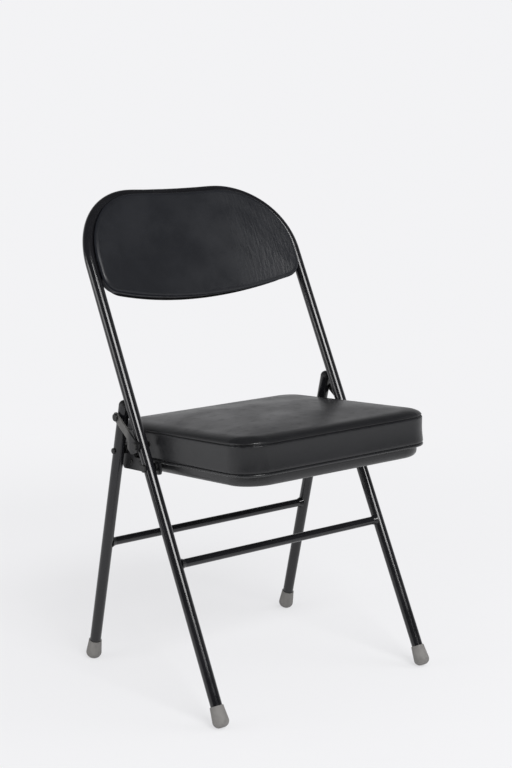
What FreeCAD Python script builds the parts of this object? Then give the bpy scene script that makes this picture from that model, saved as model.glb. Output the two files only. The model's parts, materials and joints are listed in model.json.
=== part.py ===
import FreeCAD, Part
import math
import os
import Sketcher

# A steel folding chair with a padded seat and back, standing open.
# Millimetres and degrees. +Z is up and +Y runs to the rear.
# The origin is on the floor under the middle of the chair.

Vector = FreeCAD.Vector
X_AXIS = Vector(1, 0, 0)
Y_AXIS = Vector(0, 1, 0)
Z_AXIS = Vector(0, 0, 1)

document = FreeCAD.newDocument("folding_chair")
sheet = document.addObject("Spreadsheet::Sheet", "Sizes")

# Driving dimensions

driving = {
    # frame tubes
    "tube_diameter": 19.0,
    "tube_wall": 1.2,
    "tube_spacing": 428.6,
    "crossbar_diameter": 14.0,
    "crossbar_wall": 1.0,
    "front_lean": 27.89,
    "rear_lean": 13.39,
    "front_foot_ahead": 212.19,
    "rear_foot_behind": 167.67,
    "front_crossbar_up": 263.7,
    "rear_crossbar_up": 225.7,
    "arch_top_up": 906.4,
    "arch_radius": 131.0,
    "arch_bow": 26.2,
    "weld_reach": 5.0,
    "weld_height": 2.6,
    # foot caps
    "cap_top_radius": 11.0,
    "cap_bottom_radius": 14.3,
    "cap_length": 34.0,
    "cap_floor": 6.0,
    "cap_rounding": 10.0,
    "cap_flat": 0.5,
    # pivots, each measured up the tube it sits on
    "seat_pivot_up": 425.55,
    "front_link_pivot_up": 463.84,
    "rear_pivot_up": 398.66,
    "rear_link_pivot_up": 459.86,
    "rear_leg_up": 478.9,
    "plug_depth": 18.0,
    "pin_radius": 3.0,
    "slack": 0.08,
    "gap": 0.3,
    "head_height": 3.0,
    "large_head_radius": 6.4,
    "small_head_radius": 4.9,
    "head_rounding": 1.2,
    "rivet_clearance": 0.45,
    "washer_radius": 7.0,
    "washer_height": 1.5,
    "nut_flats": 10.0,
    "nut_height": 3.2,
    # fold links
    "link_thickness": 3.0,
    "link_half_width": 6.8,
    "link_end": 7.6,
    "lobe_drop": 19.5,
    "lobe_back": 7.5,
    "lobe_length": 14.0,
    "link_rounding": 4.5,
    # seat, measured from the seat pivot along the tilted seat
    "seat_tilt": 5.05,
    "seat_half_width": 194.8,
    "seat_front": 233.0,
    "seat_rear": 138.0,
    "seat_corner": 46.0,
    "pan_inset": 6.5,
    "pan_corner": 58.0,
    "pan_drop": 13.0,
    "pan_height": 21.6,
    "pan_wall": 0.8,
    "pan_rounding": 10.0,
    "boxing_height": 44.0,
    "boxing_draw": 1.8,
    "crown_height": 18.0,
    "board_inset": 1.0,
    "screw_radius": 2.0,
    "screw_head_radius": 4.2,
    "screw_head_height": 2.4,
    "screw_length": 11.0,
    "screw_half_spacing": 120.0,
    "screw_ahead": 150.0,
    "screw_behind": 75.0,
    # seat brackets
    "bracket_inner": 198.2,
    "bracket_thickness": 3.0,
    "bracket_front": 13.0,
    "bracket_height": 21.0,
    "bracket_ear": 11.0,
    "bracket_shoulder": 27.5,
    "bracket_rounding": 6.0,
    "stud_front_share": 0.28,
    "stud_middle_share": 0.52,
    "stud_rear_share": 0.82,
    "stud_radius": 2.5,
    "stud_collar_radius": 4.5,
    "stud_head_height": 1.6,
    # back
    "back_clearance": 0.7,
    "back_low_middle": 710.0,
    "back_low_side": 727.5,
    "back_low_rounding": 26.0,
    "back_bow": 30.0,
    "pad_front": -17.0,
    "pad_crown": 4.0,
    "pad_rounding": 6.0,
    "lap_rear": -10.2,
    "lap_side": 3.2,
    "lap_rise": 4.3,
    "filling_front": -12.0,
    "filling_rear": 2.5,
    "filling_low": 3.0,
    "filling_low_rounding": 45.0,
    "board_thickness": 4.8,
    "shell_thickness": 0.9,
    "layer_gap": 0.1,
    "board_edge": 3.0,
    "tab_across": 193.0,
    "tab_length": 36.0,
    "tab_height": 16.0,
    "tab_thickness": 2.5,
    "tab_low_up": 758.5,
    "tab_high_up": 805.5,
}


class Size:
    """A number together with the sheet expression that gives it."""

    def __init__(self, value, text):
        self.value = value
        self.text = text

    def __add__(self, other):
        other = as_size(other)
        return Size(self.value + other.value, f"({self.text} + {other.text})")

    def __sub__(self, other):
        other = as_size(other)
        return Size(self.value - other.value, f"({self.text} - {other.text})")

    def __mul__(self, other):
        other = as_size(other)
        return Size(self.value * other.value, f"({self.text} * {other.text})")

    def __truediv__(self, other):
        other = as_size(other)
        return Size(self.value / other.value, f"({self.text} / {other.text})")

    def __neg__(self):
        return self * -1


def as_size(number):
    """Takes a plain number as a Size."""
    if isinstance(number, Size):
        return number
    return Size(float(number), f"({float(number)})")


def sine(angle):
    """The sine of an angle in degrees."""
    return Size(math.sin(math.radians(angle.value)), f"sin({angle.text} * 1 deg)")


def cosine(angle):
    """The cosine of an angle in degrees."""
    return Size(math.cos(math.radians(angle.value)), f"cos({angle.text} * 1 deg)")


def square_root(size):
    """The square root of a size."""
    return Size(math.sqrt(size.value), f"sqrt({size.text})")


def arcsine(ratio):
    """The angle in degrees with a sine."""
    return Size(math.degrees(math.asin(ratio.value)), f"(asin({ratio.text}) / 1 deg)")


def arc_radius(half_chord, rise):
    """The radius of an arc that rises over a chord."""
    return (half_chord * half_chord + rise * rise) / (rise * 2)


class Dimensions:
    """Every driving dimension by name."""


dim = Dimensions()
for row, (name, value) in enumerate(driving.items(), start=1):
    sheet.set(f"A{row}", name)
    sheet.set(f"B{row}", str(value))
    sheet.setAlias(f"B{row}", name)
    setattr(dim, name, Size(value, f"Sizes.{name}"))
document.recompute()

ZERO = as_size(0)

# Sizes worked out from the driving ones

tube_radius = dim.tube_diameter / 2
tube_bore = tube_radius - dim.tube_wall
half_spacing = dim.tube_spacing / 2
tube_inner_side = half_spacing - tube_radius
tube_outer_side = half_spacing + tube_radius
crossbar_radius = dim.crossbar_diameter / 2
hole_radius = dim.pin_radius + dim.slack

front_foot = -dim.front_foot_ahead
rear_foot = dim.rear_foot_behind

seat_pivot_back = front_foot + dim.seat_pivot_up * sine(dim.front_lean)
seat_pivot_high = dim.seat_pivot_up * cosine(dim.front_lean)
front_link_back = front_foot + dim.front_link_pivot_up * sine(dim.front_lean)
front_link_high = dim.front_link_pivot_up * cosine(dim.front_lean)
rear_pivot_back = rear_foot - dim.rear_pivot_up * sine(dim.rear_lean)
rear_pivot_high = dim.rear_pivot_up * cosine(dim.rear_lean)
rear_link_back = rear_foot - dim.rear_link_pivot_up * sine(dim.rear_lean)
rear_link_high = dim.rear_link_pivot_up * cosine(dim.rear_lean)

bracket_outer = dim.bracket_inner + dim.bracket_thickness
spacer_inner = bracket_outer + dim.gap
nut_outer = dim.bracket_inner - dim.gap
nut_inner = nut_outer - dim.nut_height
link_inner = tube_outer_side + dim.washer_height + dim.gap
link_outer = link_inner + dim.link_thickness
pan_half_width = dim.seat_half_width - dim.pan_inset
pan_low = -dim.pan_drop
pan_high = pan_low + dim.pan_height


# Helpers for sketches and bodies

def origin_plane(body, role):
    """Finds one of the body's own origin planes or axes."""
    for feature in body.Origin.OriginFeatures:
        if feature.Role == role:
            return feature
    raise RuntimeError("no origin feature " + role)


def bind(item, prop, size):
    """Ties a property of an item to the sheet."""
    item.setExpression(prop, size.text)


def place(item, base, axis=None, angle=None):
    """Puts an item at a point, turned about an axis, with both tied to the sheet."""
    turn = FreeCAD.Rotation()
    if axis is not None:
        turn = FreeCAD.Rotation(axis, angle.value)
    item.Placement = FreeCAD.Placement(Vector(*[part.value for part in base]), turn)
    for letter, part in zip("xyz", base):
        bind(item, "Placement.Base." + letter, part)
    if axis is not None:
        bind(item, "Placement.Rotation.Angle", angle)


def place_on_front(item):
    """Leans an item with the front frame: its own Z runs up the front tubes and its own Y to the rear."""
    place(item, (ZERO, front_foot, ZERO), -X_AXIS, dim.front_lean)


def place_on_rear(item):
    """Leans an item with the rear legs: its own Z runs up them."""
    place(item, (ZERO, rear_foot, ZERO), X_AXIS, dim.rear_lean)


def place_on_seat(item):
    """Tilts an item with the seat, with its origin on the seat's pivot."""
    place(item, (ZERO, seat_pivot_back, seat_pivot_high), -X_AXIS, dim.seat_tilt)


def new_body(name):
    """Starts a body."""
    return document.addObject("PartDesign::Body", name)


def new_sketch(body, name, role, height=None):
    """Starts a sketch on one of the body's origin planes, at a height above it."""
    sketch = body.newObject("Sketcher::SketchObject", name)
    sketch.AttachmentSupport = [(origin_plane(body, role), "")]
    sketch.MapMode = "FlatFace"
    if height is not None:
        sketch.AttachmentOffset = FreeCAD.Placement(Vector(0, 0, height.value), FreeCAD.Rotation())
        bind(sketch, "AttachmentOffset.Base.z", height)
    return sketch


def point(pair):
    """A sketch point from two sizes."""
    return Vector(pair[0].value, pair[1].value, 0)


def add_rule(sketch, size, kind, *parts):
    """Adds a constraint with a value tied to the sheet."""
    number = sketch.addConstraint(Sketcher.Constraint(kind, *parts, size.value))
    bind(sketch, f"Constraints[{number}]", size)


def hold(sketch, curve, end, pair):
    """Holds one point of a curve at a place measured from the sketch's origin."""
    for kind, axis, size in (("DistanceX", -2, pair[0]), ("DistanceY", -1, pair[1])):
        if abs(size.value) < 1e-9:
            sketch.addConstraint(Sketcher.Constraint("PointOnObject", curve, end, axis))
        else:
            add_rule(sketch, size, kind, -1, 1, curve, end)


def add_polygon(sketch, corners):
    """Draws straight lines round the corners."""
    count = len(corners)
    lines = []
    for here, there in zip(corners, corners[1:] + corners[:1]):
        lines.append(sketch.addGeometry(Part.LineSegment(point(here), point(there))))
    for number in range(count):
        following = lines[(number + 1) % count]
        sketch.addConstraint(Sketcher.Constraint("Coincident", lines[number], 2, following, 1))
    for line, corner in zip(lines, corners):
        hold(sketch, line, 1, corner)


def add_circle(sketch, centre, radius):
    """Draws a circle."""
    circle = sketch.addGeometry(Part.Circle(point(centre), Z_AXIS, radius.value))
    hold(sketch, circle, 3, centre)
    add_rule(sketch, radius, "Radius", circle)


def add_arc(sketch, start, end, radius, rises):
    """Draws a shallow arc between two points that share a height, above the chord or below it."""
    half = (start[0].value - end[0].value) / 2
    middle_x = (start[0].value + end[0].value) / 2
    depth = math.sqrt(radius.value ** 2 - half ** 2)
    sign = 1 if rises else -1
    centre = Vector(middle_x, start[1].value - sign * depth, 0)
    from_angle = math.atan2(start[1].value - centre.y, start[0].value - centre.x)
    to_angle = math.atan2(end[1].value - centre.y, end[0].value - centre.x)
    circle = Part.Circle(centre, Z_AXIS, radius.value)
    arc = sketch.addGeometry(Part.ArcOfCircle(circle, from_angle, to_angle))
    hold(sketch, arc, 1, start)
    hold(sketch, arc, 2, end)
    add_rule(sketch, radius, "Radius", arc)


def add_rounded_rectangle(sketch, half_width, low, high, radius):
    """Draws a rectangle with rounded corners, even about the sketch's upright axis."""
    right, top, bottom, r = half_width.value, high.value, low.value, radius.value
    ends = [
        (Vector(r - right, bottom, 0), Vector(right - r, bottom, 0)),
        (Vector(right, bottom + r, 0), Vector(right, top - r, 0)),
        (Vector(right - r, top, 0), Vector(r - right, top, 0)),
        (Vector(-right, top - r, 0), Vector(-right, bottom + r, 0)),
    ]
    centres = [
        Vector(right - r, bottom + r, 0),
        Vector(right - r, top - r, 0),
        Vector(r - right, top - r, 0),
        Vector(r - right, bottom + r, 0),
    ]
    lines = []
    arcs = []
    for number in range(4):
        lines.append(sketch.addGeometry(Part.LineSegment(*ends[number])))
        from_angle = (number - 1) * math.pi / 2
        circle = Part.Circle(centres[number], Z_AXIS, r)
        arcs.append(sketch.addGeometry(Part.ArcOfCircle(circle, from_angle, from_angle + math.pi / 2)))
    for number in range(4):
        following = lines[(number + 1) % 4]
        sketch.addConstraint(Sketcher.Constraint("Tangent", lines[number], 2, arcs[number], 1))
        sketch.addConstraint(Sketcher.Constraint("Tangent", arcs[number], 2, following, 1))
        level = "Horizontal" if number % 2 == 0 else "Vertical"
        sketch.addConstraint(Sketcher.Constraint(level, lines[number]))
    for arc in arcs[1:]:
        sketch.addConstraint(Sketcher.Constraint("Equal", arcs[0], arc))
    add_rule(sketch, radius, "Radius", arcs[0])
    add_rule(sketch, half_width, "DistanceX", -1, 1, lines[1], 1)
    add_rule(sketch, -half_width, "DistanceX", -1, 1, lines[3], 1)
    add_rule(sketch, low, "DistanceY", -1, 1, lines[0], 1)
    add_rule(sketch, high, "DistanceY", -1, 1, lines[2], 1)


def add_pad(body, sketch, length):
    """Raises a sketch along its normal."""
    pad = body.newObject("PartDesign::Pad", sketch.Name + "_pad")
    pad.Profile = sketch
    pad.Length = length.value
    bind(pad, "Length", length)
    document.recompute()
    return pad


def add_through_pocket(body, sketch):
    """Cuts a sketch through the whole body, both ways."""
    before = body.Shape.Volume
    pocket = body.newObject("PartDesign::Pocket", sketch.Name + "_pocket")
    pocket.Profile = sketch
    pocket.Type = "ThroughAll"
    pocket.Midplane = True
    document.recompute()
    if body.Shape.Volume >= before:
        raise RuntimeError(sketch.Name + " cuts nothing")
    return pocket


def add_fillet(body, edges, radius):
    """Rounds edges of the body's last feature."""
    fillet = body.newObject("PartDesign::Fillet", body.Name + f"_fillet_{len(body.Group)}")
    fillet.Base = (body.Tip if body.Tip != fillet else body.Group[-2], edges)
    fillet.Radius = radius.value
    bind(fillet, "Radius", radius)
    document.recompute()
    return fillet


def edges_along(shape, direction):
    """Names the straight edges that run along a direction."""
    names = []
    for number, edge in enumerate(shape.Edges, start=1):
        if edge.Curve.TypeId != "Part::GeomLine":
            continue
        if abs(abs(edge.Curve.Direction.dot(direction)) - 1) < 1e-6:
            names.append(f"Edge{number}")
    return names


def rings_at(shape, radius, height, axis=Z_AXIS):
    """Names the circles about an axis with a radius and a height along it."""
    names = []
    for number, edge in enumerate(shape.Edges, start=1):
        if edge.Curve.TypeId != "Part::GeomCircle":
            continue
        same_radius = abs(edge.Curve.Radius - radius.value) < 1e-4
        same_height = abs(edge.Curve.Center.dot(axis) - height.value) < 1e-4
        if same_radius and same_height:
            names.append(f"Edge{number}")
    return names


def turned_body(name, corners, role="XZ_Plane"):
    """Turns a profile of (radius, height) corners about Z or, on the XY plane, about Y."""
    body = new_body(name)
    sketch = new_sketch(body, name + "_profile", role)
    add_polygon(sketch, corners)
    turn = body.newObject("PartDesign::Revolution", name + "_turn")
    turn.Profile = sketch
    turn.ReferenceAxis = (sketch, ["V_Axis"])
    turn.Angle = 360
    document.recompute()
    return body


def ring_body(name, bore, radius, low, high):
    """A plain ring."""
    return turned_body(name, [(bore, low), (radius, low), (radius, high), (bore, high)])


def across(body, back, high):
    """Lays a turned body along X on the right-hand side. Its own height is then its distance outwards."""
    place(body, (ZERO, back, high), Y_AXIS, as_size(90))


def mirrored(item, name):
    """The same item on the other side of the chair."""
    mirror = document.addObject("Part::Mirroring", name)
    mirror.Source = item
    mirror.Base = Vector(0, 0, 0)
    mirror.Normal = X_AXIS
    document.recompute()
    return mirror


def grouped(name, items):
    """Separate solids in one node."""
    group = document.addObject("Part::Compound", name)
    group.Links = items
    document.recompute()
    return group


def pair_of(name, item):
    """An item and its mirror image in one node."""
    return grouped(name, [item, mirrored(item, name + "_mirror")])


def cut(name, base, tool):
    """One item less another."""
    result = document.addObject("Part::Cut", name)
    result.Base = base
    result.Tool = tool
    document.recompute()
    if result.Shape.Volume >= base.Shape.Volume:
        raise RuntimeError(name + " cuts nothing")
    return result


def common(name, first, second):
    """What two items share."""
    result = document.addObject("Part::Common", name)
    result.Base = first
    result.Tool = second
    document.recompute()
    return result


def joined(name, items):
    """Several items as one tool."""
    result = document.addObject("Part::MultiFuse", name)
    result.Shapes = items
    document.recompute()
    return result


def rod(name, radius, length, base, axis=None, angle=None):
    """A plain cylinder that starts at a point."""
    cylinder = document.addObject("Part::Cylinder", name)
    bind(cylinder, "Radius", radius)
    bind(cylinder, "Height", length)
    place(cylinder, base, axis, angle)
    document.recompute()
    return cylinder


def cross_rod(name, radius, half_length, up):
    """A cylinder right across the chair, at a height up the frame it belongs to."""
    return rod(name, radius, half_length * 2, (-half_length, ZERO, up), Y_AXIS, as_size(90))


nodes = {}


def add_node(name, item):
    """Keeps an item as one sub-part of the chair."""
    item.Label = name
    nodes[name] = item


# Foot caps: where the cap's lower face sits so that its low edge is worn flat on the floor

def cap_low(lean):
    """The height of a cap's lower face up its leg."""
    taper = (dim.cap_bottom_radius - dim.cap_top_radius) / dim.cap_length
    rounding_centre = dim.cap_bottom_radius - dim.cap_rounding * (taper + 1)
    reach = rounding_centre * sine(lean)
    return (dim.cap_rounding - dim.cap_flat + reach) / cosine(lean) - dim.cap_rounding


front_cap_low = cap_low(dim.front_lean)
rear_cap_low = cap_low(dim.rear_lean)
front_tube_low = front_cap_low + dim.cap_floor
rear_tube_low = rear_cap_low + dim.cap_floor

# Front frame tube: up the left side, over the bowed back and down the right side, drawn as two halves

arch_start = dim.arch_top_up - dim.arch_radius
bow_radius = arc_radius(half_spacing, dim.arch_bow)
CORNER_STEPS = 10
TOP_STEPS = 4


def bowed(across_value, up_value):
    """A point of the tube's centre line, set back by the bow."""
    from_centre = math.sqrt(bow_radius.value ** 2 - across_value ** 2)
    set_back = from_centre - bow_radius.value + dim.arch_bow.value
    return Vector(across_value, set_back, up_value)


arch_points = []
for step in range(CORNER_STEPS + 1):
    swing = step / CORNER_STEPS * math.pi / 2
    corner_across = half_spacing.value - dim.arch_radius.value * (1 - math.cos(swing))
    corner_up = arch_start.value + dim.arch_radius.value * math.sin(swing)
    arch_points.append(bowed(corner_across, corner_up))
top_half_length = half_spacing.value - dim.arch_radius.value
for step in range(1, TOP_STEPS + 1):
    arch_points.append(bowed(top_half_length * (1 - step / TOP_STEPS), dim.arch_top_up.value))
arch_curve = Part.BSplineCurve()
arch_curve.interpolate(Points=arch_points, InitialTangent=Z_AXIS, FinalTangent=-X_AXIS)
right_foot = Vector(half_spacing.value, 0, front_tube_low.value)
frame_path = document.addObject("Part::Feature", "frame_path")
frame_path.Shape = Part.Wire([Part.LineSegment(right_foot, arch_points[0]).toShape(), arch_curve.toShape()])


def swept_bar(name, radius):
    """A round bar along the frame's path and its mirror image, as one."""
    ring = document.addObject("Part::Circle", name + "_ring")
    bind(ring, "Radius", radius)
    place(ring, (half_spacing, ZERO, front_tube_low))
    sweep = document.addObject("Part::Sweep", name + "_half")
    sweep.Sections = [ring]
    sweep.Spine = (frame_path, [])
    sweep.Solid = True
    sweep.Frenet = False
    document.recompute()
    return joined(name, [sweep, mirrored(sweep, name + "_other_half")])


frame_outside = swept_bar("frame_outside", tube_radius)
frame_inside = swept_bar("frame_inside", tube_bore)
frame_hollow = cut("frame_hollow", frame_outside, frame_inside)
hole_reach = tube_outer_side + tube_radius
frame_holes = joined("frame_holes", [
    cross_rod("seat_pivot_hole", hole_radius, hole_reach, dim.seat_pivot_up),
    cross_rod("front_link_hole", hole_radius, hole_reach, dim.front_link_pivot_up),
])
front_tube = cut("front_tube", frame_hollow, frame_holes)
place_on_front(front_tube)
add_node("front_frame_tube", front_tube)


# Crossbars, shaped at their ends to the tubes and welded all round

def crossbar(name, up, place_on):
    """A crossbar between two tubes, with its two welds as a node of their own."""
    outside = cross_rod(name + "_outside", crossbar_radius, half_spacing, up)
    inside = cross_rod(name + "_inside", crossbar_radius - dim.crossbar_wall, half_spacing, up)
    reach = dim.tube_diameter * 2
    legs = []
    for side, offset in (("right", half_spacing), ("left", -half_spacing)):
        legs.append(rod(f"{name}_{side}_leg", tube_radius, reach * 2, (offset, ZERO, up - reach)))
    leg_pair = joined(name + "_legs", legs)
    bar = cut(name, cut(name + "_hollow", outside, inside), leg_pair)
    place_on(bar)
    add_node(name, bar)
    flare = document.addObject("Part::Cone", name + "_flare")
    flare.Radius1 = crossbar_radius.value
    bind(flare, "Radius1", crossbar_radius)
    bind(flare, "Radius2", crossbar_radius + dim.weld_height)
    bind(flare, "Height", dim.weld_reach + dim.weld_height)
    place(flare, (tube_inner_side - dim.weld_reach, ZERO, up), Y_AXIS, as_size(90))
    document.recompute()
    bead = cut(name + "_bead", cut(name + "_bead_ring", flare, outside), leg_pair)
    beads = pair_of(name + "_welds", bead)
    place_on(beads)
    add_node(name + "_welds", beads)


crossbar("front_crossbar", dim.front_crossbar_up, place_on_front)
crossbar("rear_crossbar", dim.rear_crossbar_up, place_on_rear)

# Rear legs with a round plug in the top end, which stops against the front tube when the chair is open

rear_leg = new_body("rear_leg")
rear_leg_ring = new_sketch(rear_leg, "rear_leg_ring", "XY_Plane", rear_tube_low)
add_circle(rear_leg_ring, (half_spacing, ZERO), tube_radius)
add_circle(rear_leg_ring, (half_spacing, ZERO), tube_bore)
add_pad(rear_leg, rear_leg_ring, dim.rear_leg_up - rear_tube_low)
rear_leg_hole = new_sketch(rear_leg, "rear_leg_hole", "YZ_Plane", half_spacing)
add_circle(rear_leg_hole, (ZERO, dim.rear_pivot_up), hole_radius)
add_through_pocket(rear_leg, rear_leg_hole)
place_on_rear(rear_leg)
add_node("rear_leg_right", rear_leg)
add_node("rear_leg_left", mirrored(rear_leg, "rear_leg_mirror"))

plug_shaft = tube_bore - dim.layer_gap
plug = turned_body("plug", [
    (ZERO, dim.rear_leg_up - dim.plug_depth),
    (plug_shaft, dim.rear_leg_up - dim.plug_depth),
    (plug_shaft, dim.rear_leg_up),
    (tube_radius, dim.rear_leg_up),
    (tube_radius, dim.rear_leg_up + tube_radius),
    (ZERO, dim.rear_leg_up + tube_radius),
])
plug_edge = rings_at(plug.Shape, tube_radius, dim.rear_leg_up + tube_radius)
add_fillet(plug, plug_edge, tube_radius - dim.gap)
place(plug, (half_spacing, rear_foot, ZERO), X_AXIS, dim.rear_lean)
add_node("rear_leg_plugs", pair_of("plug_pair", plug))


# Foot caps

def foot_cap(name, low, foot, axis, lean):
    """A tapered plastic cap on a leg, worn flat where it meets the floor."""
    high = low + dim.cap_length
    bore = tube_radius + dim.layer_gap / 2
    body = turned_body(name + "_whole", [
        (ZERO, low),
        (dim.cap_bottom_radius, low),
        (dim.cap_top_radius, high),
        (bore, high),
        (bore, low + dim.cap_floor),
        (ZERO, low + dim.cap_floor),
    ], "YZ_Plane")
    add_fillet(body, rings_at(body.Shape, dim.cap_bottom_radius, low), dim.cap_rounding)
    place(body, (half_spacing, foot, ZERO), axis, lean)
    floor = document.addObject("Part::Box", name + "_floor")
    floor_size = dim.cap_length * 2
    for side in ("Length", "Width", "Height"):
        bind(floor, side, floor_size)
    place(floor, (half_spacing - dim.cap_length, foot - dim.cap_length, -floor_size))
    document.recompute()
    return cut(name, body, floor)


front_cap = foot_cap("front_cap", front_cap_low, front_foot, -X_AXIS, dim.front_lean)
rear_cap = foot_cap("rear_cap", rear_cap_low, rear_foot, X_AXIS, dim.rear_lean)
add_node("front_right_foot_cap", front_cap)
add_node("front_left_foot_cap", mirrored(front_cap, "front_cap_mirror"))
add_node("rear_right_foot_cap", rear_cap)
add_node("rear_left_foot_cap", mirrored(rear_cap, "rear_cap_mirror"))


# Pins, spacers and nuts of the pivots, drawn along the distance from the chair's middle

def headed_pin(name, inner_end, head_seat, head_radius, back, high):
    """A pin with a round head on its outer end."""
    head_top = head_seat + dim.head_height
    body = turned_body(name, [
        (ZERO, inner_end),
        (dim.pin_radius, inner_end),
        (dim.pin_radius, head_seat),
        (head_radius, head_seat),
        (head_radius, head_top),
        (ZERO, head_top),
    ])
    add_fillet(body, rings_at(body.Shape, head_radius, head_top), dim.head_rounding)
    across(body, back, high)
    return body


def nut(name, back, high):
    """A thin six-sided nut on the inner side of a seat bracket."""
    body = new_body(name)
    sketch = new_sketch(body, name + "_outline", "XY_Plane", nut_inner)
    corner_radius = dim.nut_flats / math.sqrt(3)
    corners = []
    for number in range(6):
        angle = math.radians(60 * number + 30)
        corners.append((corner_radius * math.cos(angle), corner_radius * math.sin(angle)))
    add_polygon(sketch, corners)
    add_circle(sketch, (ZERO, ZERO), hole_radius)
    add_pad(body, sketch, dim.nut_height)
    across(body, back, high)
    return body


pin_inner = nut_inner - dim.layer_gap
seat_pin = headed_pin(
    "seat_pin", pin_inner, tube_outer_side, dim.large_head_radius, seat_pivot_back, seat_pivot_high
)
add_node("seat_pivot_bolts", pair_of("seat_pin_pair", seat_pin))
add_node("seat_pivot_nuts", pair_of("seat_nut_pair", nut("seat_nut", seat_pivot_back, seat_pivot_high)))
seat_spacer = ring_body("seat_spacer", hole_radius, dim.washer_radius, spacer_inner, tube_inner_side)
across(seat_spacer, seat_pivot_back, seat_pivot_high)
add_node("seat_pivot_spacers", pair_of("seat_spacer_pair", seat_spacer))

rear_pin = headed_pin(
    "rear_pin", pin_inner, tube_outer_side, dim.small_head_radius, rear_pivot_back, rear_pivot_high
)
add_node("rear_pivot_bolts", pair_of("rear_pin_pair", rear_pin))
add_node("rear_pivot_nuts", pair_of("rear_nut_pair", nut("rear_nut", rear_pivot_back, rear_pivot_high)))
rear_spacer = ring_body("rear_spacer", hole_radius, dim.washer_radius, spacer_inner, tube_inner_side)
across(rear_spacer, rear_pivot_back, rear_pivot_high)
add_node("rear_pivot_spacers", pair_of("rear_spacer_pair", rear_spacer))

# Link rivets: the front one holds the link on the front tube, the rear one rides in the link's other end

front_rivet_seat = link_outer + dim.gap
front_rivet_tail = tube_inner_side - dim.head_height
front_rivet = turned_body("front_rivet", [
    (ZERO, front_rivet_tail),
    (dim.small_head_radius, front_rivet_tail),
    (dim.small_head_radius, tube_inner_side),
    (dim.pin_radius, tube_inner_side),
    (dim.pin_radius, front_rivet_seat),
    (dim.large_head_radius, front_rivet_seat),
    (dim.large_head_radius, front_rivet_seat + dim.head_height),
    (ZERO, front_rivet_seat + dim.head_height),
])
front_rivet_rims = rings_at(front_rivet.Shape, dim.large_head_radius, front_rivet_seat + dim.head_height)
front_rivet_rims += rings_at(front_rivet.Shape, dim.small_head_radius, front_rivet_tail)
add_fillet(front_rivet, front_rivet_rims, dim.head_rounding)
across(front_rivet, front_link_back, front_link_high)
add_node("link_pivot_rivets", pair_of("front_rivet_pair", front_rivet))
link_washer_high = tube_outer_side + dim.washer_height
link_washer = ring_body("link_washer", hole_radius, dim.washer_radius, tube_outer_side, link_washer_high)
across(link_washer, front_link_back, front_link_high)
add_node("link_pivot_washers", pair_of("link_washer_pair", link_washer))

rear_rivet_tail = tube_outer_side + dim.rivet_clearance
rear_rivet = turned_body("rear_rivet", [
    (ZERO, rear_rivet_tail),
    (dim.small_head_radius, rear_rivet_tail),
    (dim.small_head_radius, link_inner),
    (dim.pin_radius, link_inner),
    (dim.pin_radius, link_outer),
    (dim.large_head_radius, link_outer),
    (dim.large_head_radius, link_outer + dim.head_height),
    (ZERO, link_outer + dim.head_height),
])
rear_rivet_rim = rings_at(rear_rivet.Shape, dim.large_head_radius, link_outer + dim.head_height)
add_fillet(rear_rivet, rear_rivet_rim, dim.head_rounding)
across(rear_rivet, rear_link_back, rear_link_high)
add_node("link_end_rivet_right", rear_rivet)
add_node("link_end_rivet_left", mirrored(rear_rivet, "rear_rivet_mirror"))

# Fold links: a flat bar with a stop lobe under its front eye

link_rise = rear_link_high - front_link_high
link_run = rear_link_back - front_link_back
link_length = square_root(link_run * link_run + link_rise * link_rise)
link_angle = arcsine(link_rise / link_length)

link = new_body("link")
link_outline = new_sketch(link, "link_outline", "YZ_Plane", link_inner)
add_polygon(link_outline, [
    (link_length + dim.link_end, -dim.link_half_width),
    (link_length + dim.link_end, dim.link_half_width),
    (-dim.link_end, dim.link_half_width + dim.slack),
    (-(dim.link_end + dim.slack), -dim.link_half_width),
    (dim.lobe_back - dim.lobe_length / 2, -dim.lobe_drop),
    (dim.lobe_back + dim.lobe_length / 2, -dim.lobe_drop + dim.slack),
    (dim.lobe_back + dim.lobe_length, -dim.link_half_width),
])
add_pad(link, link_outline, dim.link_thickness)
add_fillet(link, edges_along(link.Shape, X_AXIS), dim.link_rounding)
link_holes = new_sketch(link, "link_holes", "YZ_Plane", link_inner)
add_circle(link_holes, (ZERO, ZERO), hole_radius)
add_circle(link_holes, (link_length, ZERO), hole_radius)
add_through_pocket(link, link_holes)
place(link, (ZERO, front_link_back, front_link_high), X_AXIS, link_angle)
add_node("fold_link_right", link)
add_node("fold_link_left", mirrored(link, "link_mirror"))

# Seat pan: a pressed tray with a rounded lower edge


def tray(name, inset, low, high, rounding):
    """A block with rounded corners and a rounded lower edge."""
    body = new_body(name)
    sketch = new_sketch(body, name + "_plan", "XY_Plane", low)
    add_rounded_rectangle(
        sketch,
        dim.seat_half_width - inset,
        inset - dim.seat_front,
        dim.seat_rear - inset,
        dim.pan_corner - inset,
    )
    add_pad(body, sketch, high - low)
    if rounding is not None:
        lower = []
        for number, edge in enumerate(body.Shape.Edges, start=1):
            box = edge.BoundBox
            if abs(box.ZMax - low.value) < 1e-6:
                lower.append(f"Edge{number}")
        add_fillet(body, lower, rounding)
    return body


def seat_screw_places():
    """Where the four seat screws go, in the seat's plan."""
    places = []
    for side in (dim.screw_half_spacing, -dim.screw_half_spacing):
        for along in (-dim.screw_ahead, dim.screw_behind):
            places.append((side, along))
    return places


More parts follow.
